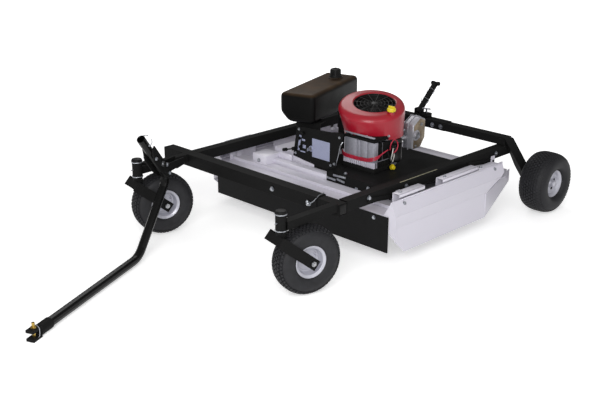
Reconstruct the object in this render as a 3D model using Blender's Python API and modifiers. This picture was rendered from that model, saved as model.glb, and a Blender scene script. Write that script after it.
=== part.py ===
"""Tow-behind brush mower: a white two-blade deck slung under a black tube frame.

Front is -Y, right (the photographed side) is +X, the ground is z = 0. Metres.
"""
from math import acos, atan2, cos, pi, radians, sin, sqrt, tan

import bmesh
import bpy
from mathutils import Matrix, Vector

# Fits between pieces
FIT = 0.0003             # gap left between two faces that touch
RUN = 0.0004             # radial clearance of a pin that turns in its hole

# Side beams, caster arms and cross tubes of the frame
BEAM = 0.063
BEAM_WALL = 0.004
BEAM_TOP = 0.433
BEAM_X = 0.632
ARM = 0.046              # caster arms are slimmer, so that the tyres pass under them
CROSS = 0.076
CROSS_WALL = 0.005
CROSS_Y = -0.295
CROSS_LEFT_END = -0.848
CROSS_RIGHT_END = 0.500
CROSS_LAP = 0.120        # length of the inner cross tube held inside the outer one
REAR_CROSS_Y = 1.240
REAR_CROSS_WIDTH = 0.066
REAR_CROSS_HEIGHT = 0.052

# Casters
SLEEVE_X = 0.615
SLEEVE_Y = -0.710
SLEEVE_R = 0.030
SLEEVE_BOTTOM = 0.384
SLEEVE_HEIGHT = 0.084
STEM_R = 0.019
STEM_CAP_R = 0.029
STEM_CAP_HEIGHT = 0.018
CASTER_TRAIL = 0.148
CASTER_SWING = 16.0      # degrees that both casters stand turned to the right
FORK_TUBE = 0.045
FORK_LEAD = 0.022        # the fork's cross tube stands this far ahead of the stem
FORK_GAP = 0.006
FORK_ARM_WIDTH = 0.060
FORK_ARM_THICK = 0.008

# Wheels: facets, tyres and rims
WHEEL_FACETS = 32
CASTER_TYRE_R = 0.1905
CASTER_TYRE_WIDTH = 0.130
CASTER_RIM_R = 0.080
CASTER_AXLE_R = 0.008
REAR_TYRE_R = 0.195
REAR_TYRE_WIDTH = 0.190
REAR_RIM_R = 0.078
REAR_HUB_HALF = 0.055
REAR_AXLE_R = 0.0125
REAR_AXLE_Y = 1.405
REAR_TRACK = 0.855       # centre plane of each rear wheel
HUB_R = 0.024
RIM_WALL = 0.005
CASTER_RIM_INSET = 0.014 # how far each rim lies inside its tyre's flank
REAR_RIM_INSET = 0.032

# Rear legs
LEG_WIDTH = 0.060
LEG_THICK = 0.055
LEG_FOOT_X = 0.722

# Tow tongue, in the upright plane that it hangs in
TONGUE_HEEL = (-0.440, -0.627)
TONGUE_HEADING = 24.0    # degrees inboard of straight ahead
TONGUE_R = 0.0255
TONGUE_BORE = 0.0205
TONGUE_HEEL_Z = 0.395
TONGUE_TOP = (0.270, 0.700)
TONGUE_TOE = 0.372
TONGUE_LENGTH = 1.330
TONGUE_BENDS = (0.070, 0.140)   # at the heel and at the toe
PIVOT_RUN = 0.105
PIVOT_R = 0.010
EAR_THICK = 0.008
EAR_REAR = -0.160        # rear end of the bracket's ears, behind the heel
EAR_SPINE = 0.038        # height of their rear strip
EAR_ALONG = (-0.125, -0.030, 0.078, 0.145)   # corners along the raised tube, from the pivot
EAR_BEFORE = (0.020, 0.042, 0.042, 0.006)    # and how far each lies before the tube's axis
EAR_BEHIND = 0.0275
EAR_SHOULDER = -0.052
FOOT_FRONT = -0.062
CLEVIS_WIDTH = 0.045
CLEVIS_HEIGHT = 0.060
CLEVIS_GAP = 0.030
CLEVIS_REACH = 0.070
CLEVIS_SOCKET = 0.090
HITCH_PIN_R = 0.008

# Deck sheets
SHEET = 0.005
DECK_X = 0.780
DECK_TOP = 0.288
DECK_BOTTOM = 0.072
DECK_BACK = 1.200
RAIL_TOP = 0.378
LIP_TOP = 0.297
FLAP_X = 0.729
FLAP_TOP = 0.284
FLAP_THICK = 0.008
FOLD_Y = 0.865
FOLD_TOP = 0.222
FACET_END = (0.6945, 1.233)
FACET_END_LOW = 0.200
FACET_END_HIGH = 0.2825
SKIRT_TOE = 0.090        # where the lower edge of a side starts
SKIRT_NOSE = 0.150       # height of its front edge's lower end
RAIL_FRONT = 0.097
RAIL_BACK = 1.073
SKIRT_KNEE = (1.060, 0.318)
STRIP_LOW = (0.185, 0.158)      # lower edge of the front strip, inner and outer end
CHANNEL_WIDTH = 0.080
CHANNEL_TOP = 0.3083
CHANNEL_X = 0.715
CHANNEL_WALL = 0.004

# Links that hang the deck from the side beams
LINK_LENGTH = 0.2318
LINK_DROP = 7.2          # degrees below level with the deck down
LINK_THICK = 0.008
LINK_WIDTH = 0.036
LINK_PIN_R = 0.008
LINK_PLAY = 0.0015
LINK_SHIFT = 0.0009      # the lug holes lie this far behind the pins with the deck down
LINK_Z = 0.396
LINK_FRONT_Y = -0.085
LINK_REAR_Y = 0.835
LUG_THICK = 0.006
LUG_TOP = 0.400

# Cutting gear and belts
SPINDLE_X = 0.350
SPINDLE_Y = {"left": 0.420, "right": 0.720}
SPINDLE_R = 0.0125
SPINDLE_PULLEY_R = 0.072
SPINDLE_HOUSING_R = 0.050
SPINDLE_FLANGE_R = 0.080
BLADE_LENGTH = 0.749
BLADE_WIDTH = 0.070
BLADE_THICK = 0.006
BLADE_Z = 0.105
CRANK_PULLEY_R = 0.062
BELT_WIDTH = 0.012
BELT_THICK = 0.010
BELT_Z = {"left": 0.318, "right": 0.338}

# Engine
ENGINE_X = 0.150
ENGINE_Y = 0.532
PLATFORM_TOP = 0.366
PLATFORM_THICK = 0.006
PLATFORM_X = (-0.100, 0.585)
PLATFORM_Y = (0.260, 0.905)
STEP_LEFT = 0.078        # the platform reaches further forward to the right of this
STEP_FRONT = 0.187
COVER_X = (-0.530, -0.1003)
COVER_Y = (0.330, 0.560)
COVER_TOP = 0.362
COVER_SHEET = 0.004
CRANKCASE_R = 0.125
CRANKCASE_FOOT_R = 0.150
CRANKCASE_HEIGHT = 0.186
CRANK_R = 0.0145
SHROUD_PLATE = 0.008
BLOWER_R = 0.205         # at the crown
BLOWER_FOOT_R = 0.182
BLOWER_SHIFT = 0.017     # the crown stands this far off the crank's axis
BLOWER_SHIFT_WAY = -139.0
BLOWER_HEIGHT = 0.182    # on the crank's axis
BLOWER_SLOPE = 12.0      # degrees that its top falls
BLOWER_FALL = -49.0      # bearing that it falls towards, in degrees from +X
BLOWER_COLLAR = 0.027
BLOWER_WALL = 0.004
BLOWER_MOUTH_R = 0.130
SCREEN_R = 0.122
CYLINDER_FRONT = 0.347
CYLINDER_LEFT = 0.080
CYLINDER_RIGHT = 0.316
CYLINDER_TOP = 0.545
STARTER_R = 0.040
STARTER_HEIGHT = 0.150
STARTER_BEARING = 6.0
MUFFLER_SIZE = (0.078, 0.120, 0.199)
MUFFLER_X = 0.271
MUFFLER_Y = 0.781
MUFFLER_BOTTOM = 0.433
MUFFLER_BROW = (0.065, 0.041)   # run and drop of the slant at the top front
MUFFLER_NAPE = (0.045, 0.018)   # at the top rear
MUFFLER_HEEL = (0.045, 0.058)   # at the lower rear
MUFFLER_OUTLET_R = 0.022
MUFFLER_OUTLET = (-0.030, 0.090)  # behind its middle, above its bottom
MUFFLER_PIPE_R = 0.018
MUFFLER_PIPE_Z = 0.500
OIL_CAP_R = 0.026
OIL_CAP_BEARING = -11.0
OIL_CAP_RUN = 0.165      # distance from the crank's axis
OIL_CAP_HEIGHT = 0.022
OIL_NECK_R = 0.016
OIL_NECK_RISE = 0.008
OIL_NECK_DEEP = 0.016

# Fuel tank, its stand and the control panel
TANK_SIZE = (0.240, 0.661, 0.185)
TANK_X = -0.319
TANK_Y = 0.5395
TANK_BOTTOM = 0.600
TANK_TURN = 17.5
TANK_ROUND = 0.028
TANK_CHAMFER = 0.060            # along the lower left edge
TANK_NECK = (0.016, 0.188)      # place of the filler on the tank's top
TANK_NECK_HEIGHT = 0.036
TANK_CAP_R = 0.040
TANK_CAP_HEIGHT = 0.066
STAND_SHEET = 0.006
PANEL_OUTLINE = ((-0.280, 0.372), (0.004, 0.340), (0.095, 0.372), (0.150, 0.594), (-0.245, 0.572))
PANEL_SHEET = 0.006
THROTTLE = (-0.245, 0.430)      # X and Z on the panel
KEY = (-0.120, 0.450)
STAND_ALONG = (-0.270, 0.250)   # places along and across the turned tank
STAND_LEFT = -0.033
STAND_FRONT_RIGHT = 0.135       # the front leg backs the panel
STAND_RIGHT = 0.060
STAND_POST_WIDE = 0.045
STAND_NOSE = 0.080              # how far back the tray keeps the front leg's width

# Lift lever on the rear cross tube
LEVER_X = -0.060
LEVER_R = 0.020
LEVER_LENGTH = 0.235
LEVER_RISE = 44.0
LEVER_PIVOT_UP = 0.036
LEVER_PIN_R = 0.008
LEVER_EAR = 0.006
LEVER_GRIP_R = 0.012
LEVER_GRIP_LENGTH = 0.064

SIDES = {"left": -1, "right": 1}

# Values that follow from the sizes above
BEAM_Z = BEAM_TOP - BEAM / 2
BEAM_OUT = BEAM_X + BEAM / 2
CROSS_Z = BEAM_TOP - CROSS / 2
CROSS_INNER = CROSS - 2 * CROSS_WALL - 2 * FIT
FLAT = cos(pi / WHEEL_FACETS)
CASTER_HUB_Z = CASTER_TYRE_R * FLAT
REAR_HUB_Z = REAR_TYRE_R * FLAT
CLEVIS_Z = CLEVIS_HEIGHT / 2
SHEET_TOP = DECK_TOP + FIT
LEVER_PIVOT = Vector((LEVER_X, REAR_CROSS_Y, BEAM_TOP + REAR_CROSS_HEIGHT + LEVER_PIVOT_UP))
HEADING = Vector((sin(radians(TONGUE_HEADING)), -cos(radians(TONGUE_HEADING)), 0))
ACROSS = Vector((cos(radians(TONGUE_HEADING)), sin(radians(TONGUE_HEADING)), 0))
PIN_RUN = TONGUE_LENGTH + CLEVIS_REACH / 2
TIP_RUN = TONGUE_LENGTH + CLEVIS_REACH
TIP_Y = TONGUE_HEEL[1] + HEADING.y * TIP_RUN - ACROSS.y * CLEVIS_WIDTH / 2
TAIL_Y = REAR_AXLE_Y + REAR_HUB_Z
LINK_BACK = LINK_LENGTH * cos(radians(LINK_DROP))
LINK_DOWN = LINK_LENGTH * sin(radians(LINK_DROP))
LINK_Y = {"front": LINK_FRONT_Y, "rear": LINK_REAR_Y}
BLOWER_BOTTOM = PLATFORM_TOP + CRANKCASE_HEIGHT + SHROUD_PLATE
BLOWER_TOP = BLOWER_BOTTOM + BLOWER_HEIGHT


# Scene set-up
for old in list(bpy.data.objects):
    bpy.data.objects.remove(old, do_unlink=True)
pieces = bpy.data.collections.new("brush_mower")
cutters = bpy.data.collections.new("cutters")
bpy.context.scene.collection.children.link(pieces)
bpy.context.scene.collection.children.link(cutters)


def paint(name, colour, roughness, metallic=0.0):
    """One Principled material."""
    material = bpy.data.materials.new(name)
    material.use_nodes = True
    shader = material.node_tree.nodes["Principled BSDF"]
    shader.inputs["Base Color"].default_value = (*colour, 1)
    shader.inputs["Roughness"].default_value = roughness
    shader.inputs["Metallic"].default_value = metallic
    return material


BLACK = paint("black_enamel", (0.012, 0.012, 0.013), 0.35)
WHITE = paint("white_enamel", (0.78, 0.78, 0.80), 0.35)
RED = paint("red_enamel", (0.36, 0.02, 0.03), 0.30)
TYRE = paint("tyre_rubber", (0.025, 0.025, 0.027), 0.85)
RIM = paint("silver_rim", (0.60, 0.60, 0.64), 0.40, 0.3)
CAST = paint("cast_aluminium", (0.42, 0.42, 0.45), 0.50, 0.8)
STEEL = paint("bright_steel", (0.55, 0.55, 0.56), 0.35, 1.0)
ZINC = paint("yellow_zinc", (0.60, 0.45, 0.16), 0.35, 1.0)
POLY = paint("black_plastic", (0.016, 0.015, 0.014), 0.45)
YELLOW = paint("yellow_plastic", (0.85, 0.72, 0.08), 0.45)
RUBBER = paint("belt_rubber", (0.02, 0.02, 0.02), 0.80)


def anchor(name, location, turn=0.0, parent=None):
    """An empty that carries pieces; turn is in degrees about Z."""
    empty = bpy.data.objects.new(name, None)
    empty.location = location
    empty.rotation_euler = (0, 0, radians(turn))
    empty.parent = parent
    pieces.objects.link(empty)
    return empty


# The origin lies on the ground in the middle of the whole outline
mower = anchor("mower", (0, -(TIP_Y + TAIL_Y) / 2, 0))


def piece(name, shape, material, parent=mower, at=(0, 0, 0), group=pieces):
    """An object from a bmesh, with its origin at the given point of its parent."""
    bmesh.ops.translate(shape, vec=-Vector(at), verts=shape.verts)
    mesh = bpy.data.meshes.new(name)
    shape.to_mesh(mesh)
    shape.free()
    mesh.shade_smooth()
    mesh.set_sharp_from_angle(angle=radians(35))
    made = bpy.data.objects.new(name, mesh)
    made.location = at
    made.parent = parent
    if material:
        mesh.materials.append(material)
    group.objects.link(made)
    return made


def tool(shape, parent=mower):
    """A hidden solid that cuts a piece or is joined to one."""
    made = piece("tool", shape, None, parent, group=cutters)
    made.hide_render = True
    made.display_type = "WIRE"
    return made


def combine(target, shape, operation, parent=mower):
    step = target.modifiers.new(operation.lower(), "BOOLEAN")
    step.operation = operation
    step.solver = "EXACT"
    step.object = tool(shape, parent)


def cut(target, shape, parent=mower):
    combine(target, shape, "DIFFERENCE", parent)


def join(target, shape, parent=mower):
    combine(target, shape, "UNION", parent)


def block(low, high):
    """A box between two corners."""
    shape = bmesh.new()
    bmesh.ops.create_cube(shape, size=1)
    low, high = Vector(low), Vector(high)
    bmesh.ops.scale(shape, vec=high - low, verts=shape.verts)
    bmesh.ops.translate(shape, vec=(low + high) / 2, verts=shape.verts)
    shape.normal_update()
    return shape


def bar(size, middle, turn=Matrix()):
    """A box of a given size, turned about its middle."""
    shape = block(-Vector(size) / 2, Vector(size) / 2)
    bmesh.ops.transform(shape, matrix=Matrix.Translation(middle) @ turn, verts=shape.verts)
    return shape


def rod(radius, start, end, facets=24):
    """A round bar between two points."""
    start, end = Vector(start), Vector(end)
    run = end - start
    shape = bmesh.new()
    bmesh.ops.create_cone(shape, cap_ends=True, segments=facets, radius1=radius, radius2=radius,
                          depth=run.length)
    turn = run.to_track_quat("Z", "Y").to_matrix().to_4x4()
    bmesh.ops.transform(shape, matrix=Matrix.Translation((start + end) / 2) @ turn, verts=shape.verts)
    return shape


def box_tube(low, high, wall, axis):
    """A square tube, open at both ends along the given axis."""
    shape = block(low, high)
    ends = [face for face in shape.faces if abs(face.normal[axis]) > 0.9]
    bmesh.ops.inset_individual(shape, faces=ends, thickness=wall)
    rims = [edge for face in ends for edge in face.edges]
    bmesh.ops.delete(shape, geom=ends, context="FACES_ONLY")
    bmesh.ops.bridge_loops(shape, edges=rims)
    bmesh.ops.recalc_face_normals(shape, faces=shape.faces)
    return shape


def plate(outline, thickness, matrix=Matrix()):
    """A flat sheet with a polygon outline in its own XY plane, rising along its Z."""
    shape = bmesh.new()
    corners = [shape.verts.new((x, y, 0)) for x, y in outline]
    face = shape.faces.new(corners)
    raised = bmesh.ops.extrude_face_region(shape, geom=[face])["geom"]
    lifted = [item for item in raised if isinstance(item, bmesh.types.BMVert)]
    bmesh.ops.translate(shape, vec=(0, 0, thickness), verts=lifted)
    bmesh.ops.transform(shape, matrix=matrix, verts=shape.verts)
    bmesh.ops.recalc_face_normals(shape, faces=shape.faces)
    return shape


def turned(name, profile, material, parent, at, facets, tilt=0.0, closed=True):
    """A turned piece: (radius, height) points run down the outer side, round the Z axis."""
    mesh = bpy.data.meshes.new(name)
    count = len(profile)
    edges = [(i, (i + 1) % count) for i in range(count if closed else count - 1)]
    mesh.from_pydata([(radius, 0, height) for radius, height in profile], edges, [])
    mesh.materials.append(material)
    made = bpy.data.objects.new(name, mesh)
    made.parent = parent
    made.location = at
    made.rotation_euler = (0, tilt, 0)
    spin = made.modifiers.new("turn", "SCREW")
    spin.steps = facets
    spin.render_steps = facets
    spin.use_merge_vertices = True
    spin.merge_threshold = 0.00005
    spin.use_smooth_shade = True
    pieces.objects.link(made)
    return made


def lathe(profile, facets):
    """A ring turned round the Z axis from (radius, height) points, as a bmesh."""
    shape = bmesh.new()
    points = [shape.verts.new((radius, 0, height)) for radius, height in profile]
    edges = [shape.edges.new(pair) for pair in zip(points, points[1:] + points[:1])]
    bmesh.ops.spin(shape, geom=points + edges, cent=(0, 0, 0), axis=(0, 0, 1), angle=2 * pi, steps=facets,
                   use_merge=True)
    bmesh.ops.remove_doubles(shape, verts=shape.verts, dist=0.00001)
    bmesh.ops.recalc_face_normals(shape, faces=shape.faces)
    return shape


# Front cross tube: a square outer tube with an inner one sliding in its right end
outer = box_tube((CROSS_LEFT_END, CROSS_Y - CROSS / 2, CROSS_Z - CROSS / 2),
                 (CROSS_RIGHT_END, CROSS_Y + CROSS / 2, CROSS_Z + CROSS / 2), CROSS_WALL, 0)
piece("cross_tube_outer", outer, BLACK)
inner = box_tube((CROSS_RIGHT_END - CROSS_LAP, CROSS_Y - CROSS_INNER / 2, CROSS_Z - CROSS_INNER / 2),
                 (BEAM_OUT, CROSS_Y + CROSS_INNER / 2, CROSS_Z + CROSS_INNER / 2), BEAM_WALL, 0)
piece("cross_tube_inner", inner, BLACK)
CROSS_HALF = {"left": CROSS / 2, "right": CROSS_INNER / 2}


# Side beams, with the holes of the deck links in their outer walls
def link_pivots(side):
    """The four pin places of one side: (end, y, z) on the side beam."""
    return [(end, LINK_Y[end], LINK_Z) for end in ("front", "rear")]


for side, sign in SIDES.items():
    front = CROSS_Y + CROSS_HALF[side] + FIT
    back = REAR_CROSS_Y + REAR_CROSS_WIDTH / 2
    low = (sign * BEAM_X - BEAM / 2, front, BEAM_Z - BEAM / 2)
    high = (sign * BEAM_X + BEAM / 2, back, BEAM_Z + BEAM / 2)
    beam = piece("side_beam_" + side, box_tube(low, high, BEAM_WALL, 1), BLACK)
    for end, y, z in link_pivots(side):
        cut(beam, rod(LINK_PIN_R + RUN, (sign * (BEAM_OUT - 2 * BEAM_WALL), y, z),
                      (sign * (BEAM_OUT + BEAM_WALL), y, z)))


# Caster arms: the side beams' line carried forward to the swivel sleeves
for side, sign in SIDES.items():
    back = CROSS_Y - CROSS_HALF[side] - FIT
    low = (sign * BEAM_X - ARM / 2, SLEEVE_Y + STEM_R / 2, BEAM_TOP - ARM)
    high = (sign * BEAM_X + ARM / 2, back, BEAM_TOP)
    arm = piece("caster_arm_" + side, box_tube(low, high, BEAM_WALL, 1), BLACK)
    foot = Vector((sign * SLEEVE_X, SLEEVE_Y, SLEEVE_BOTTOM))
    head = foot + Vector((0, 0, SLEEVE_HEIGHT))
    reach = Vector((0, 0, BEAM))
    join(arm, rod(SLEEVE_R, foot, head, 32))
    cut(arm, rod(STEM_R + RUN, foot - reach, head + reach, 32))


# Rear cross tube, lying on the side beams, with the two ears of the lift lever
cross_end = BEAM_OUT + 0.001
cross_low = BEAM_TOP + FIT
cross_top = cross_low + REAR_CROSS_HEIGHT
rear_cross = piece("rear_cross_tube", box_tube(
    (-cross_end, REAR_CROSS_Y - REAR_CROSS_WIDTH / 2, cross_low),
    (cross_end, REAR_CROSS_Y + REAR_CROSS_WIDTH / 2, cross_top), BEAM_WALL, 0), BLACK)
ear_gap = LEVER_R + FIT
for sign in (-1, 1):
    near, far = sorted((LEVER_X + sign * ear_gap, LEVER_X + sign * (ear_gap + LEVER_EAR)))
    ear = block((near, REAR_CROSS_Y - LEVER_R, cross_top - BEAM_WALL / 2),
                (far, REAR_CROSS_Y + LEVER_R, LEVER_PIVOT.z + LEVER_R))
    join(rear_cross, ear)
ear_out = Vector((ear_gap + 2 * LEVER_EAR, 0, 0))
cut(rear_cross, rod(LEVER_PIN_R + RUN, LEVER_PIVOT - ear_out, LEVER_PIVOT + ear_out))


# Lift lever: a tube that leans back from its pin, with a cross grip at the top
lean = Vector((0, cos(radians(LEVER_RISE)), sin(radians(LEVER_RISE))))
top = LEVER_PIVOT + lean * LEVER_LENGTH
lever = piece("lift_lever", rod(LEVER_R, LEVER_PIVOT - lean * LEVER_PIN_R * 1.6, top), BLACK, at=LEVER_PIVOT)
pin_out = Vector((ear_gap + LEVER_EAR + 0.004, 0, 0))
join(lever, rod(LEVER_PIN_R, LEVER_PIVOT - pin_out, LEVER_PIVOT + pin_out))
grip = Vector((LEVER_GRIP_LENGTH / 2, 0, 0))
join(lever, rod(LEVER_GRIP_R, top - grip, top + grip))


# Rear legs: square bars from the cross tube's ends down to stub axles
for side, sign in SIDES.items():
    start = Vector((sign * cross_end, REAR_CROSS_Y, (cross_low + cross_top) / 2))
    end = Vector((sign * LEG_FOOT_X, REAR_AXLE_Y, REAR_HUB_Z))
    run = end - start
    turn = run.to_track_quat("Z", "X").to_matrix().to_4x4()
    shape = bar((LEG_THICK, LEG_WIDTH, run.length + 2 * LEG_WIDTH), (start + end) / 2, turn)
    planes = (((sign * (cross_end + FIT), 0, 0), (-sign, 0, 0)), ((0, 0, cross_top), (0, 0, 1)),
              ((0, 0, REAR_HUB_Z - LEG_WIDTH / 2), (0, 0, -1)))
    for point, normal in planes:
        sliced = bmesh.ops.bisect_plane(shape, geom=shape.verts[:] + shape.edges[:] + shape.faces[:],
                                        plane_co=point, plane_no=normal, clear_outer=True)
        rim = [item for item in sliced["geom_cut"] if isinstance(item, bmesh.types.BMEdge)]
        bmesh.ops.edgeloop_fill(shape, edges=rim)
    bmesh.ops.recalc_face_normals(shape, faces=shape.faces)
    leg = piece("rear_leg_" + side, shape, BLACK)
    hub_in = REAR_TRACK - REAR_HUB_HALF
    hub_out = REAR_TRACK + REAR_HUB_HALF
    axle = Vector((sign * LEG_FOOT_X, REAR_AXLE_Y, REAR_HUB_Z))
    shoulder = Vector((sign * (hub_in - FIT), REAR_AXLE_Y, REAR_HUB_Z))
    nut = Vector((sign * (hub_out + FIT), REAR_AXLE_Y, REAR_HUB_Z))
    tip = nut + Vector((sign * REAR_AXLE_R * 1.2, 0, 0))
    join(leg, rod(HUB_R, axle, shoulder))
    join(leg, rod(REAR_AXLE_R, axle, nut + (tip - nut) / 2))
    join(leg, rod(REAR_AXLE_R * 1.45, nut, tip, 6))


def wheel(prefix, tyre_r, width, rim_r, inset, axle_r, hub_half, parent, at):
    """A tyre and its rim, turned round the axle, standing on a flat facet."""
    half = width / 2
    wall = RIM_WALL
    flange = rim_r + 0.010
    seat = half - inset
    crown = 0.016
    tyre_profile = [(rim_r + FIT, seat - wall), (rim_r + 0.012, seat), (flange + 0.005, seat + 0.010),
                    (flange + 0.022, half - 0.004),
                    (tyre_r - 0.045, half), (tyre_r - crown, half - 0.010), (tyre_r, half - 0.034),
                    (tyre_r, 0.034 - half), (tyre_r - crown, 0.010 - half), (tyre_r - 0.045, -half),
                    (flange + 0.022, 0.004 - half), (flange + 0.005, -seat - 0.010), (rim_r + 0.012, -seat),
                    (rim_r + FIT, wall - seat)]
    bore = axle_r + RUN
    rim_profile = [(bore, hub_half), (HUB_R, hub_half), (HUB_R, wall), (rim_r - wall, wall),
                   (rim_r - wall, seat + FIT), (flange, seat + wall), (flange, seat + FIT),
                   (rim_r, seat - wall), (rim_r, wall - seat), (flange, -seat - FIT), (flange, -seat - wall),
                   (rim_r - wall, -seat - FIT), (rim_r - wall, -wall), (HUB_R, -wall),
                   (HUB_R, -hub_half), (bore, -hub_half)]
    carrier = bpy.data.objects.new(prefix + "_hub", None)
    carrier.parent = parent
    carrier.location = at
    carrier.rotation_euler = (pi / WHEEL_FACETS, 0, 0)
    pieces.objects.link(carrier)
    turned(prefix + "_tyre", tyre_profile, TYRE, carrier, (0, 0, 0), WHEEL_FACETS, pi / 2)
    turned(prefix + "_rim", rim_profile, RIM, carrier, (0, 0, 0), WHEEL_FACETS, pi / 2)


for side, sign in SIDES.items():
    wheel("rear_" + side, REAR_TYRE_R, REAR_TYRE_WIDTH, REAR_RIM_R, REAR_RIM_INSET, REAR_AXLE_R,
          REAR_HUB_HALF, mower, (sign * REAR_TRACK, REAR_AXLE_Y, REAR_HUB_Z))


# Casters: a stem, a tilted cross tube and two arms, round a wheel on a bolt
fork_reach = CASTER_TYRE_R + FORK_GAP + FORK_TUBE / 2
fork_tilt = acos((CASTER_TRAIL + FORK_LEAD) / fork_reach)
fork_middle = Vector((0, -FORK_LEAD, CASTER_HUB_Z + fork_reach * sin(fork_tilt)))
fork_turn = Matrix.Rotation(-fork_tilt, 4, "X")
neck_rise = sqrt((CASTER_TYRE_R + FORK_GAP) ** 2 - (CASTER_TRAIL - STEM_CAP_R) ** 2)
neck_low = CASTER_HUB_Z + neck_rise
arm_in = CASTER_TYRE_WIDTH / 2 + FORK_GAP * 0.8
arm_out = arm_in + FORK_ARM_THICK
for side, sign in SIDES.items():
    swivel = anchor("caster_swivel_" + side, (sign * SLEEVE_X, SLEEVE_Y, 0), -CASTER_SWING, mower)
    hub = Vector((0, CASTER_TRAIL, CASTER_HUB_Z))
    fork = piece("caster_fork_" + side, bar((2 * arm_out, FORK_TUBE, FORK_TUBE), fork_middle, fork_turn),
                 BLACK, swivel)
    arm_length = fork_reach + FORK_TUBE / 2 + FORK_ARM_WIDTH / 2
    inward = (hub - fork_middle).normalized()
    arm_middle = hub + inward * (FORK_ARM_WIDTH / 2 - arm_length / 2)
    for hand in (-1, 1):
        place = arm_middle + Vector((hand * (arm_in + arm_out) / 2, 0, 0))
        join(fork, bar((FORK_ARM_THICK, arm_length, FORK_ARM_WIDTH), place, fork_turn), swivel)
    stem_top = SLEEVE_BOTTOM + SLEEVE_HEIGHT + FIT
    join(fork, rod(STEM_CAP_R, (0, 0, neck_low), (0, 0, SLEEVE_BOTTOM - FIT)), swivel)
    stem_low = (neck_low + SLEEVE_BOTTOM) / 2
    join(fork, rod(STEM_R, (0, 0, stem_low), (0, 0, stem_top + STEM_CAP_HEIGHT / 2), 32), swivel)
    join(fork, rod(STEM_CAP_R, (0, 0, stem_top), (0, 0, stem_top + STEM_CAP_HEIGHT)), swivel)
    bolt_out = arm_out + 2 * FORK_ARM_THICK
    out = Vector((bolt_out, 0, 0))
    cut(fork, rod(CASTER_AXLE_R + RUN, hub - out, hub + out), swivel)
    bolt = piece("caster_axle_" + side, rod(CASTER_AXLE_R, hub - out, hub + out), STEEL, swivel, at=hub)
    for hand in (-1, 1):
        face = hub + Vector((hand * (arm_out + FIT), 0, 0))
        nut = hub + Vector((hand * (arm_out + FIT + FORK_ARM_THICK), 0, 0))
        join(bolt, rod(CASTER_AXLE_R * 1.9, face, nut, 6), swivel)
    wheel("caster_" + side, CASTER_TYRE_R, CASTER_TYRE_WIDTH, CASTER_RIM_R, CASTER_RIM_INSET, CASTER_AXLE_R,
          arm_in - FIT, swivel, hub)


# Tow tongue: a tube bent twice, hung on a cross bolt between the ears of its bracket
def in_plane(run, height, aside=0.0):
    """A point of the tongue's upright plane: distance ahead of the heel, height, offset inboard."""
    spot = Vector((*TONGUE_HEEL, 0)) + HEADING * run + ACROSS * aside
    return Vector((spot.x, spot.y, height))


def rounded(corners, radii, steps=4):
    """A path through the corners, with an arc of its own radius at each bend."""
    path = [corners[0]]
    for before, corner, after, radius in zip(corners, corners[1:], corners[2:], radii):
        back, on = (before - corner).normalized(), (after - corner).normalized()
        half = back.angle(on) / 2
        setback = radius / abs(sin(half) / cos(half))
        centre = corner + (back + on).normalized() * radius / sin(half)
        first, last = corner + back * setback - centre, corner + on * setback - centre
        sweep = first.angle(last)
        for step in range(steps + 1):
            share = step / steps
            path.append(centre + (first * sin((1 - share) * sweep) + last * sin(share * sweep)) / sin(sweep))
    return path + [corners[-1]]


def swept(path, radius, resolution):
    """A round bar along a path, as a closed mesh."""
    curve = bpy.data.curves.new("path", "CURVE")
    curve.dimensions = "3D"
    curve.bevel_depth = radius
    curve.bevel_resolution = resolution
    curve.use_fill_caps = True
    line = curve.splines.new("POLY")
    line.points.add(len(path) - 1)
    for point, spot in zip(line.points, path):
        point.co = (*spot, 1)
    holder = bpy.data.objects.new("path", curve)
    bpy.context.scene.collection.objects.link(holder)
    mesh = bpy.data.meshes.new_from_object(holder.evaluated_get(bpy.context.evaluated_depsgraph_get()))
    shape = bmesh.new()
    shape.from_mesh(mesh)
    bmesh.ops.remove_doubles(shape, verts=shape.verts, dist=0.00001)
    bmesh.ops.recalc_face_normals(shape, faces=shape.faces)
    bpy.data.objects.remove(holder, do_unlink=True)
    return shape


pivot_slope = (TONGUE_TOP[1] - TONGUE_HEEL_Z) / TONGUE_TOP[0]
PIVOT = in_plane(PIVOT_RUN, TONGUE_HEEL_Z + PIVOT_RUN * pivot_slope)
corners = [in_plane(*TONGUE_TOP), in_plane(0, TONGUE_HEEL_Z), in_plane(TONGUE_TOE, CLEVIS_Z),
           in_plane(TONGUE_LENGTH, CLEVIS_Z)]
tongue = piece("tongue_tube", swept(rounded(corners, TONGUE_BENDS), TONGUE_R, 4), BLACK, at=PIVOT)
past_top = corners[0] + (corners[0] - corners[1]).normalized() * TONGUE_R
longer = [past_top, *corners[1:3], in_plane(TIP_RUN, CLEVIS_Z)]
cut(tongue, swept(rounded(longer, TONGUE_BENDS), TONGUE_BORE, 2))
bolt_half = TONGUE_R + EAR_THICK + 0.012
cut(tongue, rod(PIVOT_R + RUN, PIVOT - ACROSS * bolt_half, PIVOT + ACROSS * bolt_half))

# The bracket: a foot plate on the caster arm and two ears that follow the raised tube
foot_top = BEAM_TOP + FIT + EAR_THICK
ear_in = TONGUE_R + 2 * FIT
foot_left = (TONGUE_HEEL[0] + BEAM_X) / ACROSS.x
frame_turn = Matrix.Rotation(atan2(HEADING.y, HEADING.x), 4, "Z")


def bracket_box(runs, asides, heights):
    """A box set square to the tongue's plane."""
    middle = in_plane(sum(runs) / 2, sum(heights) / 2, sum(asides) / 2)
    size = (runs[1] - runs[0], asides[1] - asides[0], heights[1] - heights[0])
    return bar(size, middle, frame_turn)


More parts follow.
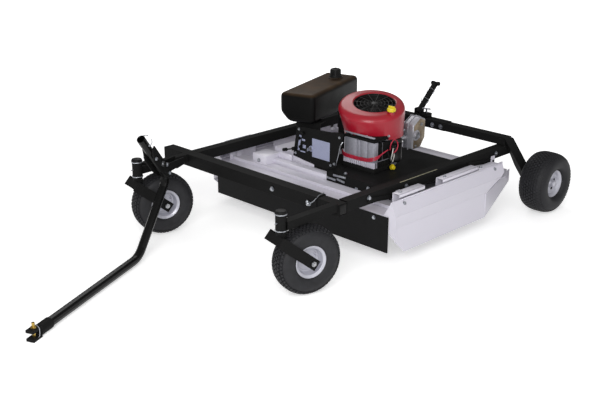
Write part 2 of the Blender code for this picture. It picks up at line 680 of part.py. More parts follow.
foot_runs = (EAR_REAR - EAR_THICK / 2, FOOT_FRONT)
foot_asides = (-foot_left, ear_in + 1.5 * EAR_THICK)
bracket = piece("tongue_bracket", bracket_box(foot_runs, foot_asides, (BEAM_TOP + FIT, foot_top)), BLACK)
ear_low = foot_top - EAR_THICK / 2
raised = Vector((1, pivot_slope)).normalized()
before = Vector((raised.y, -raised.x))
pin_spot = Vector((PIVOT_RUN, PIVOT.z))
ear_outline = [pin_spot + raised * run + before * aside for run, aside in zip(EAR_ALONG, EAR_BEFORE)]
ear_outline += [pin_spot + raised * run - before * EAR_BEHIND for run in (EAR_ALONG[-1], EAR_SHOULDER)]
ear_outline += [(EAR_REAR, ear_low + EAR_SPINE), (EAR_REAR, ear_low),
                pin_spot + raised * EAR_ALONG[0] - before * EAR_BEHIND]
upright_plane = Matrix((HEADING, (0, 0, 1), ACROSS)).transposed().to_4x4()
for hand in (-1, 1):
    near_face = in_plane(0, 0, hand * ear_in)
    ear = plate(ear_outline, hand * EAR_THICK, Matrix.Translation(near_face) @ upright_plane)
    join(bracket, ear)
ear_reach = ACROSS * (ear_in + 2 * EAR_THICK)
cut(bracket, rod(PIVOT_R + RUN, PIVOT - ear_reach, PIVOT + ear_reach))
pivot_bolt = piece("tongue_pivot", rod(PIVOT_R, PIVOT - ACROSS * bolt_half, PIVOT + ACROSS * bolt_half),
                   STEEL, at=PIVOT)
for hand in (-1, 1):
    face = PIVOT + ACROSS * hand * (ear_in + EAR_THICK + FIT)
    join(pivot_bolt, rod(PIVOT_R * 1.7, face, face + ACROSS * hand * PIVOT_R * 0.8, 6))

# Clevis: a socket on the tube's end and two tines, with the hitch pin dropped through them
socket_r = TONGUE_R + 0.009
clevis = piece("hitch_clevis", bracket_box(
    (TONGUE_LENGTH + FIT, TIP_RUN), (-CLEVIS_WIDTH / 2, CLEVIS_WIDTH / 2), (0, CLEVIS_HEIGHT)), BLACK)
join(clevis, rod(min(socket_r, CLEVIS_Z), in_plane(TONGUE_LENGTH - CLEVIS_SOCKET, CLEVIS_Z),
                 in_plane(TONGUE_LENGTH + CLEVIS_REACH / 8, CLEVIS_Z)))
socket_bore = TONGUE_R / cos(pi / 24) + FIT
cut(clevis, rod(socket_bore, in_plane(0, CLEVIS_Z), in_plane(TONGUE_LENGTH + FIT, CLEVIS_Z)))
cut(clevis, bracket_box((TONGUE_LENGTH + CLEVIS_REACH / 6, TIP_RUN + CLEVIS_REACH),
                        (-CLEVIS_WIDTH, CLEVIS_WIDTH),
                        (CLEVIS_Z - CLEVIS_GAP / 2, CLEVIS_Z + CLEVIS_GAP / 2)))
pin_low, pin_high = in_plane(PIN_RUN, 0.003), in_plane(PIN_RUN, CLEVIS_HEIGHT + 0.030)
cut(clevis, rod(HITCH_PIN_R + RUN, in_plane(PIN_RUN, -CLEVIS_HEIGHT), pin_high))
hitch_pin = piece("hitch_pin", rod(HITCH_PIN_R, pin_low, pin_high), ZINC, at=pin_low)
join(hitch_pin, rod(HITCH_PIN_R * 1.8, in_plane(PIN_RUN, CLEVIS_HEIGHT + FIT),
                    in_plane(PIN_RUN, CLEVIS_HEIGHT + HITCH_PIN_R)))


# Deck top: one flat sheet, drawn in at the rear corners, with holes for the shafts
lip_y = FLAP_THICK + 2 * FIT
deck_half = DECK_X - SHEET - FIT
tail_x = FACET_END[0] + 0.0025
deck_outline = [(-deck_half, lip_y), (deck_half, lip_y), (deck_half, RAIL_BACK), (tail_x, DECK_BACK),
                (-tail_x, DECK_BACK), (-deck_half, RAIL_BACK)]
deck_top = piece("deck_top", plate(deck_outline, SHEET, Matrix.Translation((0, 0, DECK_TOP - SHEET))), WHITE)
for side, sign in SIDES.items():
    hole = Vector((sign * SPINDLE_X, SPINDLE_Y[side], DECK_TOP))
    cut(deck_top, rod(SPINDLE_R + 0.005, hole - Vector((0, 0, 0.05)), hole + Vector((0, 0, 0.05))))


# Deck sides: an upright sheet with a rail above the top, and a facet folded in at the rear
side_outline = [(SKIRT_TOE, DECK_BOTTOM), (FOLD_Y, DECK_BOTTOM), (FOLD_Y, FOLD_TOP), SKIRT_KNEE,
                (RAIL_BACK, RAIL_TOP), (RAIL_FRONT, RAIL_TOP), (lip_y, LIP_TOP), (lip_y, SKIRT_NOSE)]
strip_top = DECK_TOP - SHEET - FIT
strip_out = DECK_X - SHEET / 2
front_outline = [(FLAP_X + FIT, STRIP_LOW[0]), (strip_out, STRIP_LOW[1]), (strip_out, strip_top),
                 (FLAP_X + FIT, strip_top)]
fold_turn = atan2(FACET_END[1] - FOLD_Y, FACET_END[0] - DECK_X)
facet_length = (Vector(FACET_END) - Vector((DECK_X, FOLD_Y))).length
facet_outline = [(-SHEET, DECK_BOTTOM), (0, DECK_BOTTOM), (facet_length, FACET_END_LOW),
                 (facet_length, FACET_END_HIGH), (0, FOLD_TOP), (-SHEET, FOLD_TOP)]
stand_up = Matrix.Rotation(pi / 2, 4, "X")
sideways = Matrix.Rotation(pi / 2, 4, "Z") @ stand_up
for side, sign in SIDES.items():
    skirt = plate(side_outline, SHEET, Matrix.Translation((DECK_X - SHEET, 0, 0)) @ sideways)
    folded = Matrix.Translation((DECK_X, FOLD_Y, 0)) @ Matrix.Rotation(fold_turn, 4, "Z") @ stand_up
    facet = plate(facet_outline, -SHEET, folded)
    strip = plate(front_outline, SHEET, Matrix.Translation((0, lip_y + SHEET, 0)) @ stand_up)
    if sign < 0:
        for shape in (skirt, facet, strip):
            bmesh.ops.scale(shape, vec=(-1, 1, 1), verts=shape.verts)
            bmesh.ops.recalc_face_normals(shape, faces=shape.faces)
    deck_side = piece("deck_side_" + side, skirt, WHITE)
    join(deck_side, facet)
    join(deck_side, strip)

piece("front_flap", block((-FLAP_X, 0, DECK_BOTTOM), (FLAP_X, FLAP_THICK, FLAP_TOP)), BLACK)


# Cross channels on the deck top, with upright lugs that hang on the links
for end in ("front", "rear"):
    y = LINK_Y[end] + LINK_BACK
    channel = piece("deck_channel_" + end, box_tube(
        (-CHANNEL_X, y - CHANNEL_WIDTH / 2, SHEET_TOP), (CHANNEL_X, y + CHANNEL_WIDTH / 2, CHANNEL_TOP),
        CHANNEL_WALL, 0), WHITE)
    lug_x = BEAM_OUT + FIT + LINK_THICK + FIT
    pin_z = LINK_Z - LINK_DOWN
    for sign in (-1, 1):
        xs = sorted((sign * lug_x, sign * (lug_x + LUG_THICK)))
        join(channel, block((xs[0], y - LINK_WIDTH / 2, CHANNEL_TOP - CHANNEL_WALL / 2),
                            (xs[1], y + LINK_WIDTH / 2, LUG_TOP)))
    hole_y = y + LINK_SHIFT
    for sign in (-1, 1):
        cut(channel, rod(LINK_PIN_R + LINK_PLAY, (sign * (lug_x - LUG_THICK), hole_y, pin_z),
                         (sign * (lug_x + 2 * LUG_THICK), hole_y, pin_z)))


# Links: flat bars with a pin at each end, one in the beam and one in the deck's lug
for side, sign in SIDES.items():
    for end, y, z in link_pivots(side):
        plane = sign * (BEAM_OUT + FIT + LINK_THICK / 2)
        near = Vector((plane, y, z))
        far = near + Vector((0, LINK_BACK, -LINK_DOWN))
        turn = Matrix.Rotation(-radians(LINK_DROP), 4, "X")
        strap = bar((LINK_THICK, LINK_LENGTH + LINK_WIDTH * 0.8, LINK_WIDTH * 0.75), (near + far) / 2, turn)
        link = piece("deck_link_%s_%s" % (end, side), strap, BLACK, at=near)
        inboard = Vector((-sign * (LINK_THICK / 2 + FIT + BEAM_WALL), 0, 0))
        outboard = Vector((sign * (LINK_THICK / 2 + FIT + LUG_THICK + 0.004), 0, 0))
        join(link, rod(LINK_PIN_R, near, near + inboard))
        join(link, rod(LINK_PIN_R, far, far + outboard))


# Engine platform: a plate on two upright flanges that stand on the deck
plate_low = PLATFORM_TOP - PLATFORM_THICK
platform = piece("engine_platform", block((PLATFORM_X[0], PLATFORM_Y[0], plate_low),
                                          (PLATFORM_X[1], PLATFORM_Y[1], PLATFORM_TOP)), BLACK)
for y in (PLATFORM_Y[0], PLATFORM_Y[1] - PLATFORM_THICK):
    join(platform, block((PLATFORM_X[0], y, SHEET_TOP),
                         (PLATFORM_X[1], y + PLATFORM_THICK, plate_low + PLATFORM_THICK / 2)))
join(platform, block((STEP_LEFT, STEP_FRONT, plate_low),
                     (PLATFORM_X[1], PLATFORM_Y[0] + PLATFORM_THICK / 2, PLATFORM_TOP)))
join(platform, block((STEP_LEFT, STEP_FRONT, SHEET_TOP),
                     (PLATFORM_X[1], STEP_FRONT + PLATFORM_THICK, plate_low + PLATFORM_THICK / 2)))

# Belt cover over the left pulley: an inverted tray, open towards the engine
tray = block((COVER_X[0], COVER_Y[0], SHEET_TOP), (COVER_X[1], COVER_Y[1], COVER_TOP))
cover = piece("belt_cover", tray, WHITE)
cut(cover, block((COVER_X[0] + COVER_SHEET, COVER_Y[0] + COVER_SHEET, 0),
                 (0, COVER_Y[1] - COVER_SHEET, COVER_TOP - COVER_SHEET)))
axis = Vector((ENGINE_X, ENGINE_Y, 0))


def up(height):
    """A point on the crank's axis."""
    return axis + Vector((0, 0, height))


cut(platform, rod(2 * CRANK_R, up(0), up(PLATFORM_TOP + 0.1)))

# Crankcase: a round cast body with the cylinder block in front and the shroud plate on top
case_low = PLATFORM_TOP + FIT
case_top = PLATFORM_TOP + CRANKCASE_HEIGHT
crankcase = piece("crankcase", rod(CRANKCASE_R, up(case_low), up(case_top), 32), CAST)
join(crankcase, rod(CRANKCASE_FOOT_R, up(case_low), up(case_low + 0.024), 32))
join(crankcase, block((CYLINDER_LEFT, CYLINDER_FRONT, case_low),
                      (CYLINDER_RIGHT, ENGINE_Y - 0.03, CYLINDER_TOP)))
join(crankcase, rod(BLOWER_FOOT_R, up(case_top - FIT), up(BLOWER_BOTTOM), 40))
cut(crankcase, rod(CRANK_R + RUN, up(0), up(1)))

# Crankshaft with its two-groove pulley, and the rotating screen above the fan
crank_low = BELT_Z["left"] - 0.008
pulley_top = BELT_Z["right"] + BELT_WIDTH + 0.004
screen_low = BLOWER_BOTTOM + 0.040
crank = piece("crankshaft", rod(CRANK_R, up(crank_low), up(screen_low)), STEEL, at=up(crank_low))
join(crank, rod(CRANK_PULLEY_R, up(crank_low), up(pulley_top), 32))
blower_fall = tan(radians(BLOWER_SLOPE))
screen_top = BLOWER_TOP - blower_fall * BLOWER_MOUTH_R
screen_profile = [(0, screen_top), (SCREEN_R * 0.55, screen_top), (SCREEN_R, screen_top - 0.006),
                  (SCREEN_R, screen_top - 0.024), (0.040, screen_top - 0.024), (0.040, screen_low + FIT),
                  (0, screen_low + FIT)]
turned("blower_screen", screen_profile, POLY, mower, up(0), 40, closed=False)

# Blower housing: a red pressed shell with an open mouth over the screen
high, low = BLOWER_TOP, BLOWER_BOTTOM + FIT
wall = BLOWER_WALL
blower_profile = [(BLOWER_MOUTH_R, high), (BLOWER_R - 0.024, high), (BLOWER_R - 0.007, high - 0.010),
                  (BLOWER_R, high - 0.030), (BLOWER_FOOT_R, low), (BLOWER_FOOT_R - wall, low),
                  (BLOWER_R - wall, high - 0.031), (BLOWER_R - 0.010, high - 0.013),
                  (BLOWER_R - 0.025, high - wall), (BLOWER_MOUTH_R + wall, high - wall),
                  (BLOWER_MOUTH_R + wall, high - BLOWER_COLLAR), (BLOWER_MOUTH_R, high - BLOWER_COLLAR)]
shape = lathe(blower_profile, 48)
fall_way = Vector((cos(radians(BLOWER_FALL)), sin(radians(BLOWER_FALL)), 0))
shift = Vector((cos(radians(BLOWER_SHIFT_WAY)), sin(radians(BLOWER_SHIFT_WAY)), 0)) * BLOWER_SHIFT
for vert in shape.verts:
    if vert.co.z > low + wall:
        if vert.co.xy.length > BLOWER_MOUTH_R + 2 * wall:
            vert.co += shift
        vert.co.z -= blower_fall * vert.co.dot(fall_way)
bmesh.ops.translate(shape, vec=axis, verts=shape.verts)
blower = piece("blower_housing", shape, RED)

# Oil filler: a short neck on the housing's top and a cap with a finger grip
cap_way = Vector((cos(radians(OIL_CAP_BEARING)), sin(radians(OIL_CAP_BEARING)), 0)) * OIL_CAP_RUN
neck_foot = axis + cap_way + Vector((0, 0, BLOWER_TOP - blower_fall * cap_way.dot(fall_way)))
neck_top = neck_foot + Vector((0, 0, OIL_NECK_RISE))
join(blower, rod(OIL_NECK_R, neck_foot - Vector((0, 0, OIL_NECK_DEEP)), neck_top))
cap_foot = neck_top + Vector((0, 0, FIT))
cap_top = cap_foot + Vector((0, 0, OIL_CAP_HEIGHT))
oil_cap = piece("oil_filler_cap", rod(OIL_CAP_R, cap_foot, cap_top), YELLOW, at=cap_foot)
grip = Vector((OIL_CAP_R * 0.9, 0.006, 0.012))
join(oil_cap, block(cap_top - grip, cap_top + grip))

# Starter motor beside the crankcase
starter_way = Vector((cos(radians(STARTER_BEARING)), sin(radians(STARTER_BEARING)), 0))
facet_loss = 0.0004
starter_place = axis + starter_way * (CRANKCASE_R + STARTER_R - facet_loss)
starter_low = case_low + 0.034
piece("starter_motor", rod(STARTER_R, starter_place + Vector((0, 0, starter_low)),
                           starter_place + Vector((0, 0, starter_low + STARTER_HEIGHT))), POLY)

# Muffler: a chamfered box with an outlet to the right and its pipe to the crankcase
front, back = MUFFLER_Y - MUFFLER_SIZE[1] / 2, MUFFLER_Y + MUFFLER_SIZE[1] / 2
base, peak = MUFFLER_BOTTOM, MUFFLER_BOTTOM + MUFFLER_SIZE[2]
muffler_outline = [(front, base), (back - MUFFLER_HEEL[0], base), (back, base + MUFFLER_HEEL[1]),
                   (back, peak - MUFFLER_NAPE[1]), (back - MUFFLER_NAPE[0], peak),
                   (front + MUFFLER_BROW[0], peak), (front, peak - MUFFLER_BROW[1])]
muffler_left = MUFFLER_X - MUFFLER_SIZE[0] / 2
muffler = piece("muffler", plate(muffler_outline, MUFFLER_SIZE[0],
                                 Matrix.Translation((muffler_left, 0, 0)) @ sideways), STEEL)
outlet = Vector((MUFFLER_X, MUFFLER_Y + MUFFLER_OUTLET[0], MUFFLER_BOTTOM + MUFFLER_OUTLET[1]))
join(muffler, rod(MUFFLER_OUTLET_R, outlet, outlet + Vector((MUFFLER_SIZE[0] / 2 + 0.014, 0, 0))))
pipe_start = Vector((MUFFLER_X, MUFFLER_Y, MUFFLER_PIPE_Z))
pipe_way = (pipe_start - up(MUFFLER_PIPE_Z)).normalized()
join(muffler, rod(MUFFLER_PIPE_R, pipe_start, up(MUFFLER_PIPE_Z) + pipe_way * (CRANKCASE_R + FIT)))


# Fuel tank: a moulded box with round edges and a filler neck, turned on its stand
tank_anchor = anchor("tank_turn", (TANK_X, TANK_Y, 0), TANK_TURN, mower)
wide, long, tall = TANK_SIZE
shape = block((-wide / 2, -long / 2, TANK_BOTTOM), (wide / 2, long / 2, TANK_BOTTOM + tall))
lower_left = [edge for edge in shape.edges
              if all(vert.co.x < 0 and vert.co.z < TANK_BOTTOM + tall / 2 for vert in edge.verts)]
bmesh.ops.bevel(shape, geom=lower_left, offset=TANK_CHAMFER, segments=1, affect="EDGES", profile=0.5,
                material=-1)
bmesh.ops.bevel(shape, geom=shape.edges[:], offset=TANK_ROUND, segments=3, affect="EDGES", profile=0.5,
                material=-1)
tank = piece("fuel_tank", shape, POLY, tank_anchor)
neck = Vector((*TANK_NECK, TANK_BOTTOM + tall))
neck_r = TANK_CAP_R * 0.68
neck_top = neck + Vector((0, 0, TANK_NECK_HEIGHT))
join(tank, rod(neck_r, neck - Vector((0, 0, TANK_ROUND)), neck_top), tank_anchor)
neck_end = TANK_NECK_HEIGHT + FIT
cap_profile = [(0, TANK_CAP_HEIGHT), (TANK_CAP_R - 0.004, TANK_CAP_HEIGHT),
               (TANK_CAP_R, TANK_CAP_HEIGHT - 0.004), (TANK_CAP_R, FIT), (neck_r + FIT, FIT),
               (neck_r + FIT, neck_end), (0, neck_end)]
turned("fuel_cap", cap_profile, POLY, tank_anchor, neck, 24, closed=False)

# Tank stand: a tray on a wide front leg behind the panel and a narrow rear post, both on the deck
tray_top = TANK_BOTTOM - FIT
tray_low = tray_top - STAND_SHEET
leg_top = tray_top - STAND_SHEET / 2
nose_end = STAND_ALONG[0] + STAND_NOSE
tray = block((STAND_LEFT, STAND_ALONG[0], tray_low), (STAND_RIGHT, STAND_ALONG[1], tray_top))
stand = piece("tank_stand", tray, BLACK, tank_anchor)
join(stand, block((STAND_RIGHT - STAND_SHEET, STAND_ALONG[0], tray_low),
                  (STAND_FRONT_RIGHT, nose_end, tray_top)), tank_anchor)
join(stand, block((STAND_LEFT, STAND_ALONG[0], SHEET_TOP),
                  (STAND_FRONT_RIGHT, STAND_ALONG[0] + STAND_SHEET, leg_top)), tank_anchor)
join(stand, block((STAND_RIGHT - STAND_POST_WIDE, STAND_ALONG[1] - STAND_SHEET, SHEET_TOP),
                  (STAND_RIGHT, STAND_ALONG[1], leg_top)), tank_anchor)


# Control panel: an upright sheet on the front flange of the platform
panel_face = PLATFORM_Y[0] - FIT - PANEL_SHEET
upright = Matrix.Translation((0, panel_face, 0)) @ Matrix.Rotation(pi / 2, 4, "X")
piece("control_panel", plate(PANEL_OUTLINE, -PANEL_SHEET, upright), BLACK)

# Throttle lever and ignition switch on the panel's face
lever_place = Vector((THROTTLE[0], panel_face - FIT, THROTTLE[1]))
boss = rod(0.012, lever_place, lever_place - Vector((0, 0.038, 0)))
throttle = piece("throttle_lever", boss, POLY, at=lever_place)
reach = Vector((-0.075, 0, -0.022))
root = lever_place - Vector((0, 0.032, 0))
join(throttle, rod(0.0045, root, root + reach, 12))
join(throttle, rod(0.011, root + reach * 0.82, root + reach * 1.2, 12))
key_place = Vector((KEY[0], panel_face - FIT, KEY[1]))
key = piece("ignition_key", rod(0.013, key_place, key_place - Vector((0, 0.010, 0))), STEEL, at=key_place)
join(key, block(key_place + Vector((-0.002, -0.034, -0.010)), key_place + Vector((0.002, -0.008, 0.010))))


# Spindles: a bearing housing under the deck, a shaft with its pulley, and a bar blade
sheet_low = DECK_TOP - SHEET - FIT
housing_low = BLADE_Z + BLADE_THICK + 0.060
blade_top = BLADE_Z + BLADE_THICK
for side, sign in SIDES.items():
    spot = Vector((sign * SPINDLE_X, SPINDLE_Y[side], 0))
    bore = SPINDLE_R + RUN
    housing_profile = [(bore, sheet_low), (SPINDLE_FLANGE_R, sheet_low),
                       (SPINDLE_FLANGE_R, sheet_low - 0.008), (SPINDLE_HOUSING_R, sheet_low - 0.012),
                       (SPINDLE_HOUSING_R, housing_low), (bore, housing_low)]
    turned("spindle_housing_" + side, housing_profile, CAST, mower, spot, 28)
    groove_low = BELT_Z[side] - 0.003
    groove_high = BELT_Z[side] + BELT_WIDTH + 0.003
    shaft_profile = [(0, groove_high + 0.004), (SPINDLE_R, groove_high + 0.004), (SPINDLE_R, groove_high),
                     (SPINDLE_PULLEY_R, groove_high), (SPINDLE_PULLEY_R, groove_low),
                     (SPINDLE_R, groove_low), (SPINDLE_R, housing_low - FIT),
                     (2 * SPINDLE_R, housing_low - FIT), (2 * SPINDLE_R, blade_top + FIT),
                     (SPINDLE_R, blade_top + FIT), (SPINDLE_R, BLADE_Z - FIT),
                     (1.7 * SPINDLE_R, BLADE_Z - FIT), (1.7 * SPINDLE_R, BLADE_Z - 0.012),
                     (0, BLADE_Z - 0.012)]
    turned("spindle_" + side, shaft_profile, STEEL, mower, spot, 28, closed=False)
    blade_bar = block(spot + Vector((-BLADE_LENGTH / 2, -BLADE_WIDTH / 2, BLADE_Z)),
                      spot + Vector((BLADE_LENGTH / 2, BLADE_WIDTH / 2, blade_top)))
    blade = piece("blade_" + side, blade_bar, STEEL, at=spot)
    cut(blade, rod(SPINDLE_R + FIT, spot, spot + Vector((0, 0, DECK_TOP)), 28))


# Belts: one loop from the crank pulley to each spindle pulley
def loop(centre_a, radius_a, centre_b, radius_b, steps=14):
    """The outline of a belt round two pulleys, as points in XY; its flats lie on the radii."""
    line = centre_b - centre_a
    heading = atan2(line.y, line.x)
    lean = acos((radius_a - radius_b) / line.length)
    points = []
    for centre, radius, first, last in ((centre_a, radius_a, lean, 2 * pi - lean),
                                        (centre_b, radius_b, -lean, lean)):
        corner_r = radius / cos((last - first) / steps / 2)
        for step in range(steps + 1):
            angle = heading + first + (last - first) * step / steps
            points.append((centre.x + corner_r * cos(angle), centre.y + corner_r * sin(angle)))
    return points


for side, sign in SIDES.items():
    crank_spot = Vector((ENGINE_X, ENGINE_Y))
    spot = Vector((sign * SPINDLE_X, SPINDLE_Y[side]))
    grow = FIT + BELT_THICK
    level = Matrix.Translation((0, 0, BELT_Z[side]))
    outside = loop(crank_spot, CRANK_PULLEY_R + grow, spot, SPINDLE_PULLEY_R + grow)
    belt = piece("belt_" + side, plate(outside, BELT_WIDTH, level), RUBBER)
    inside = Matrix.Translation((0, 0, BELT_Z[side] - BELT_WIDTH))
    cut(belt, plate(loop(crank_spot, CRANK_PULLEY_R + FIT, spot, SPINDLE_PULLEY_R + FIT),
                    3 * BELT_WIDTH, inside))
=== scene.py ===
"""Looks of the tow-behind brush mower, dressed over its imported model."""
from math import cos, pi, radians, sin, tan

import bmesh
import bpy
from mathutils import Matrix, Vector


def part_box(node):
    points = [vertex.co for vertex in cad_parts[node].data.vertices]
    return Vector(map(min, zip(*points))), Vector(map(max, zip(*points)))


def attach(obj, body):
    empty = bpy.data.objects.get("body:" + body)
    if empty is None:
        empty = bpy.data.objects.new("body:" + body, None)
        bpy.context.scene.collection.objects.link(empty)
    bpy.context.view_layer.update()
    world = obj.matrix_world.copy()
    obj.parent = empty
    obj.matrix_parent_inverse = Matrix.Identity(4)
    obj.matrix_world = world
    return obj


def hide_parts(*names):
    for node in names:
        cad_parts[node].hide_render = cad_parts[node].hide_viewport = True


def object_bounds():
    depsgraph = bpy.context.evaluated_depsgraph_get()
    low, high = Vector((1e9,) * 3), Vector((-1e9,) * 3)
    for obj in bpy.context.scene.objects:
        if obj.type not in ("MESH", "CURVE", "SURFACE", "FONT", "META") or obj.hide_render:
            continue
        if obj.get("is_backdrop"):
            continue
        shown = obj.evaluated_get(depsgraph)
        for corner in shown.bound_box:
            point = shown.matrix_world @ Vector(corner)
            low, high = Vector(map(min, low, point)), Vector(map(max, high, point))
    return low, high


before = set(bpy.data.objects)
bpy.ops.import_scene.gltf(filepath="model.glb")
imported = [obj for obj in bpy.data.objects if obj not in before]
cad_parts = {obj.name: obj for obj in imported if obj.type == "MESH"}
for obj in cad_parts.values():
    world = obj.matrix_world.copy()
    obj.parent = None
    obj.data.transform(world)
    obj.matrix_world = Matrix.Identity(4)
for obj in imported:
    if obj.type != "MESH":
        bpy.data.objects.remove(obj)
cad_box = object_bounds()
scene = bpy.context.scene
scene.view_settings.view_transform = "Standard"


# Camera: the photograph was taken from the mower's front right corner, a little above it,
# with a moderately long lens. Lengths are metres, measured from the front flap's face.
flap_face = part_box("front_flap")[0].y


def at(x, y, z):
    """A point given from the front flap's face, in the row frame."""
    return Vector((x, y + flap_face, z))


camera_data = bpy.data.cameras.new("camera")
camera_data.sensor_width = 36.0
camera_data.lens = 59.6
camera = bpy.data.objects.new("camera", camera_data)
camera.location = at(4.0358, -3.9691, 2.2467)
camera.rotation_mode = "QUATERNION"
camera.rotation_quaternion = (at(0.0425, -0.0049, 0.1564) - camera.location).to_track_quat("-Z", "Y")
scene.collection.objects.link(camera)
scene.camera = camera


# Studio: a pale seamless floor and large soft lamps, so that enamel shows broad highlights.
# The floor is lifted to white for camera and mirror rays only, and keeps the shadow near the mower.
def linear(code):
    """An sRGB hex colour as linear RGBA."""
    parts = [int(code[i:i + 2], 16) / 255 for i in (1, 3, 5)]
    return (*[p / 12.92 if p <= 0.04045 else ((p + 0.055) / 1.055) ** 2.4 for p in parts], 1.0)


def add(tree, kind, inputs=None, **settings):
    """Adds one node: its settings, then values or links for its inputs."""
    made = tree.nodes.new(kind)
    for name, value in settings.items():
        setattr(made, name, value)
    for name, value in (inputs or {}).items():
        if isinstance(value, bpy.types.NodeSocket):
            tree.links.new(value, made.inputs[name])
        else:
            made.inputs[name].default_value = value
    return made


floor_shape = bmesh.new()
bmesh.ops.create_grid(floor_shape, x_segments=1, y_segments=1, size=40)
floor_mesh = bpy.data.meshes.new("floor")
floor_shape.to_mesh(floor_mesh)
floor = bpy.data.objects.new("floor", floor_mesh)
floor.location.z = -0.001
scene.collection.objects.link(floor)
floor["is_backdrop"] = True

paper = bpy.data.materials.new("white_paper")
paper.use_nodes = True
tree = paper.node_tree
tree.nodes.clear()
rays = add(tree, "ShaderNodeLightPath")
seen = add(tree, "ShaderNodeMath", {0: rays.outputs["Is Camera Ray"], 1: rays.outputs["Is Glossy Ray"]},
           operation="MAXIMUM")
seen = add(tree, "ShaderNodeMath", {0: seen.outputs[0], 1: rays.outputs["Is Transmission Ray"]},
           operation="MAXIMUM")
sheet_white = add(tree, "ShaderNodeBsdfDiffuse", {"Color": linear("#f4f4f4")})
place = add(tree, "ShaderNodeTexCoord").outputs["Object"]
away = add(tree, "ShaderNodeVectorMath", {0: place}, operation="LENGTH")
level = add(tree, "ShaderNodeMapRange", {"Value": away.outputs["Value"], "From Min": 1.6, "From Max": 4.5,
                                         "To Min": 0.45, "To Max": 1.0})
lift = add(tree, "ShaderNodeMath", {0: seen.outputs[0], 1: level.outputs[0]}, operation="MULTIPLY")
glow = add(tree, "ShaderNodeEmission", {"Color": linear("#ffffff"), "Strength": lift.outputs[0]})
both = add(tree, "ShaderNodeAddShader", {0: sheet_white.outputs[0], 1: glow.outputs[0]})
add(tree, "ShaderNodeOutputMaterial", {"Surface": both.outputs[0]})
floor_mesh.materials.append(paper)

world = bpy.data.worlds.new("studio")
world.use_nodes = True
tree = world.node_tree
tree.nodes.clear()
rays = add(tree, "ShaderNodeLightPath")
seen = add(tree, "ShaderNodeMath", {0: rays.outputs["Is Camera Ray"], 1: rays.outputs["Is Transmission Ray"]},
           operation="MAXIMUM")
heading = add(tree, "ShaderNodeVectorMath", {0: add(tree, "ShaderNodeTexCoord").outputs["Generated"],
                                             1: (0.70, -0.71, 0.0)}, operation="DOT_PRODUCT")
ambient = add(tree, "ShaderNodeMapRange", {"Value": heading.outputs["Value"], "From Min": -1.0, "From Max": 1.0,
                                           "To Min": 0.14, "To Max": 0.62})
strength = add(tree, "ShaderNodeMapRange", {"Value": seen.outputs[0], "To Min": ambient.outputs[0], "To Max": 1.0})
sky = add(tree, "ShaderNodeBackground", {"Color": linear("#ffffff"), "Strength": strength.outputs[0]})
add(tree, "ShaderNodeOutputWorld", {"Surface": sky.outputs[0]})
scene.world = world

for name, place, size, power in (("key_lamp", at(2.9, -4.1, 2.9), 3.2, 180),
                                 ("fill_lamp", at(4.4, -0.6, 2.6), 2.4, 20),
                                 ("back_lamp", at(-2.8, 2.2, 3.8), 2.8, 48)):
    lamp_data = bpy.data.lights.new(name, "AREA")
    lamp_data.shape = "DISK"
    lamp_data.size = size
    lamp_data.energy = power
    lamp = bpy.data.objects.new(name, lamp_data)
    lamp.location = place
    lamp.rotation_mode = "QUATERNION"
    lamp.rotation_quaternion = (at(0, 0.3, 0.3) - place).to_track_quat("-Z", "Y")
    scene.collection.objects.link(lamp)


# Tube frame: welded square steel tube and plate, sprayed with black enamel and baked.
# Enamel is smooth with a faint orange peel, and holds a little dust on faces that look up.
def new_finish(name, values):
    """A material with the given shader values, its node tree, and coordinates on the object."""
    material = bpy.data.materials.new(name)
    material.use_nodes = True
    tree = material.node_tree
    for key, value in values.items():
        tree.nodes["Principled BSDF"].inputs[key].default_value = value
    return material, tree, add(tree, "ShaderNodeTexCoord").outputs["Object"]


def noise(tree, place, size, detail):
    """Soft noise with spots of the given size in metres."""
    return add(tree, "ShaderNodeTexNoise", {"Vector": place, "Scale": 1 / size, "Detail": detail}).outputs["Fac"]


def mottle(tree, share, colour, other, patches=None, smooth=0.0, rough=0.0):
    """Mixes two colours by a share, and lets patches vary the roughness."""
    shader = tree.nodes["Principled BSDF"]
    tint = add(tree, "ShaderNodeMix", {"Factor": share, "A": linear(colour), "B": linear(other)}, data_type="RGBA")
    tree.links.new(tint.outputs["Result"], shader.inputs["Base Color"])
    if patches is not None:
        gloss = add(tree, "ShaderNodeMapRange", {"Value": patches, "To Min": smooth, "To Max": rough})
        tree.links.new(gloss.outputs[0], shader.inputs["Roughness"])


def roughen(tree, height, strength, depth):
    """Gives a surface a fine relief of the given depth in metres."""
    bump = add(tree, "ShaderNodeBump", {"Height": height, "Strength": strength, "Distance": depth})
    tree.links.new(bump.outputs[0], tree.nodes["Principled BSDF"].inputs["Normal"])


def enamel(name, colour, dust_and_sheen_tone, roughness, dust_and_sheen_share, peel=0.0022, coat=0.25, shine=0.5, metal=0.0):
    """Sprayed and baked paint: two tones, orange peel of the given width, and a second tone on faces that look up,
    which is settled dust on the paints and a painted reflection on the tank.
    """
    material, tree, place = new_finish(name, {"IOR": 1.5, "Specular IOR Level": shine, "Metallic": metal,
                                              "Coat Weight": coat, "Coat Roughness": 0.12})
    patches = noise(tree, place, 0.090, 5.0)
    normal = add(tree, "ShaderNodeNewGeometry").outputs["Normal"]
    upward = add(tree, "ShaderNodeSeparateXYZ", {0: normal}).outputs["Z"]
    # Faces that look up take the second tone: dust on the paints, a painted reflection on the tank's top.
    faces_up_share = add(tree, "ShaderNodeMapRange", {"Value": upward, "From Min": 0.3, "From Max": 1.0,
                                               "To Max": dust_and_sheen_share})
    dust_and_sheen = add(tree, "ShaderNodeMath", {0: faces_up_share.outputs[0], 1: patches}, operation="MULTIPLY")
    mottle(tree, dust_and_sheen.outputs[0], colour, dust_and_sheen_tone, patches, roughness - 0.06, roughness + 0.10)
    roughen(tree, noise(tree, place, peel, 2.0), 0.10, 0.0004)
    return material


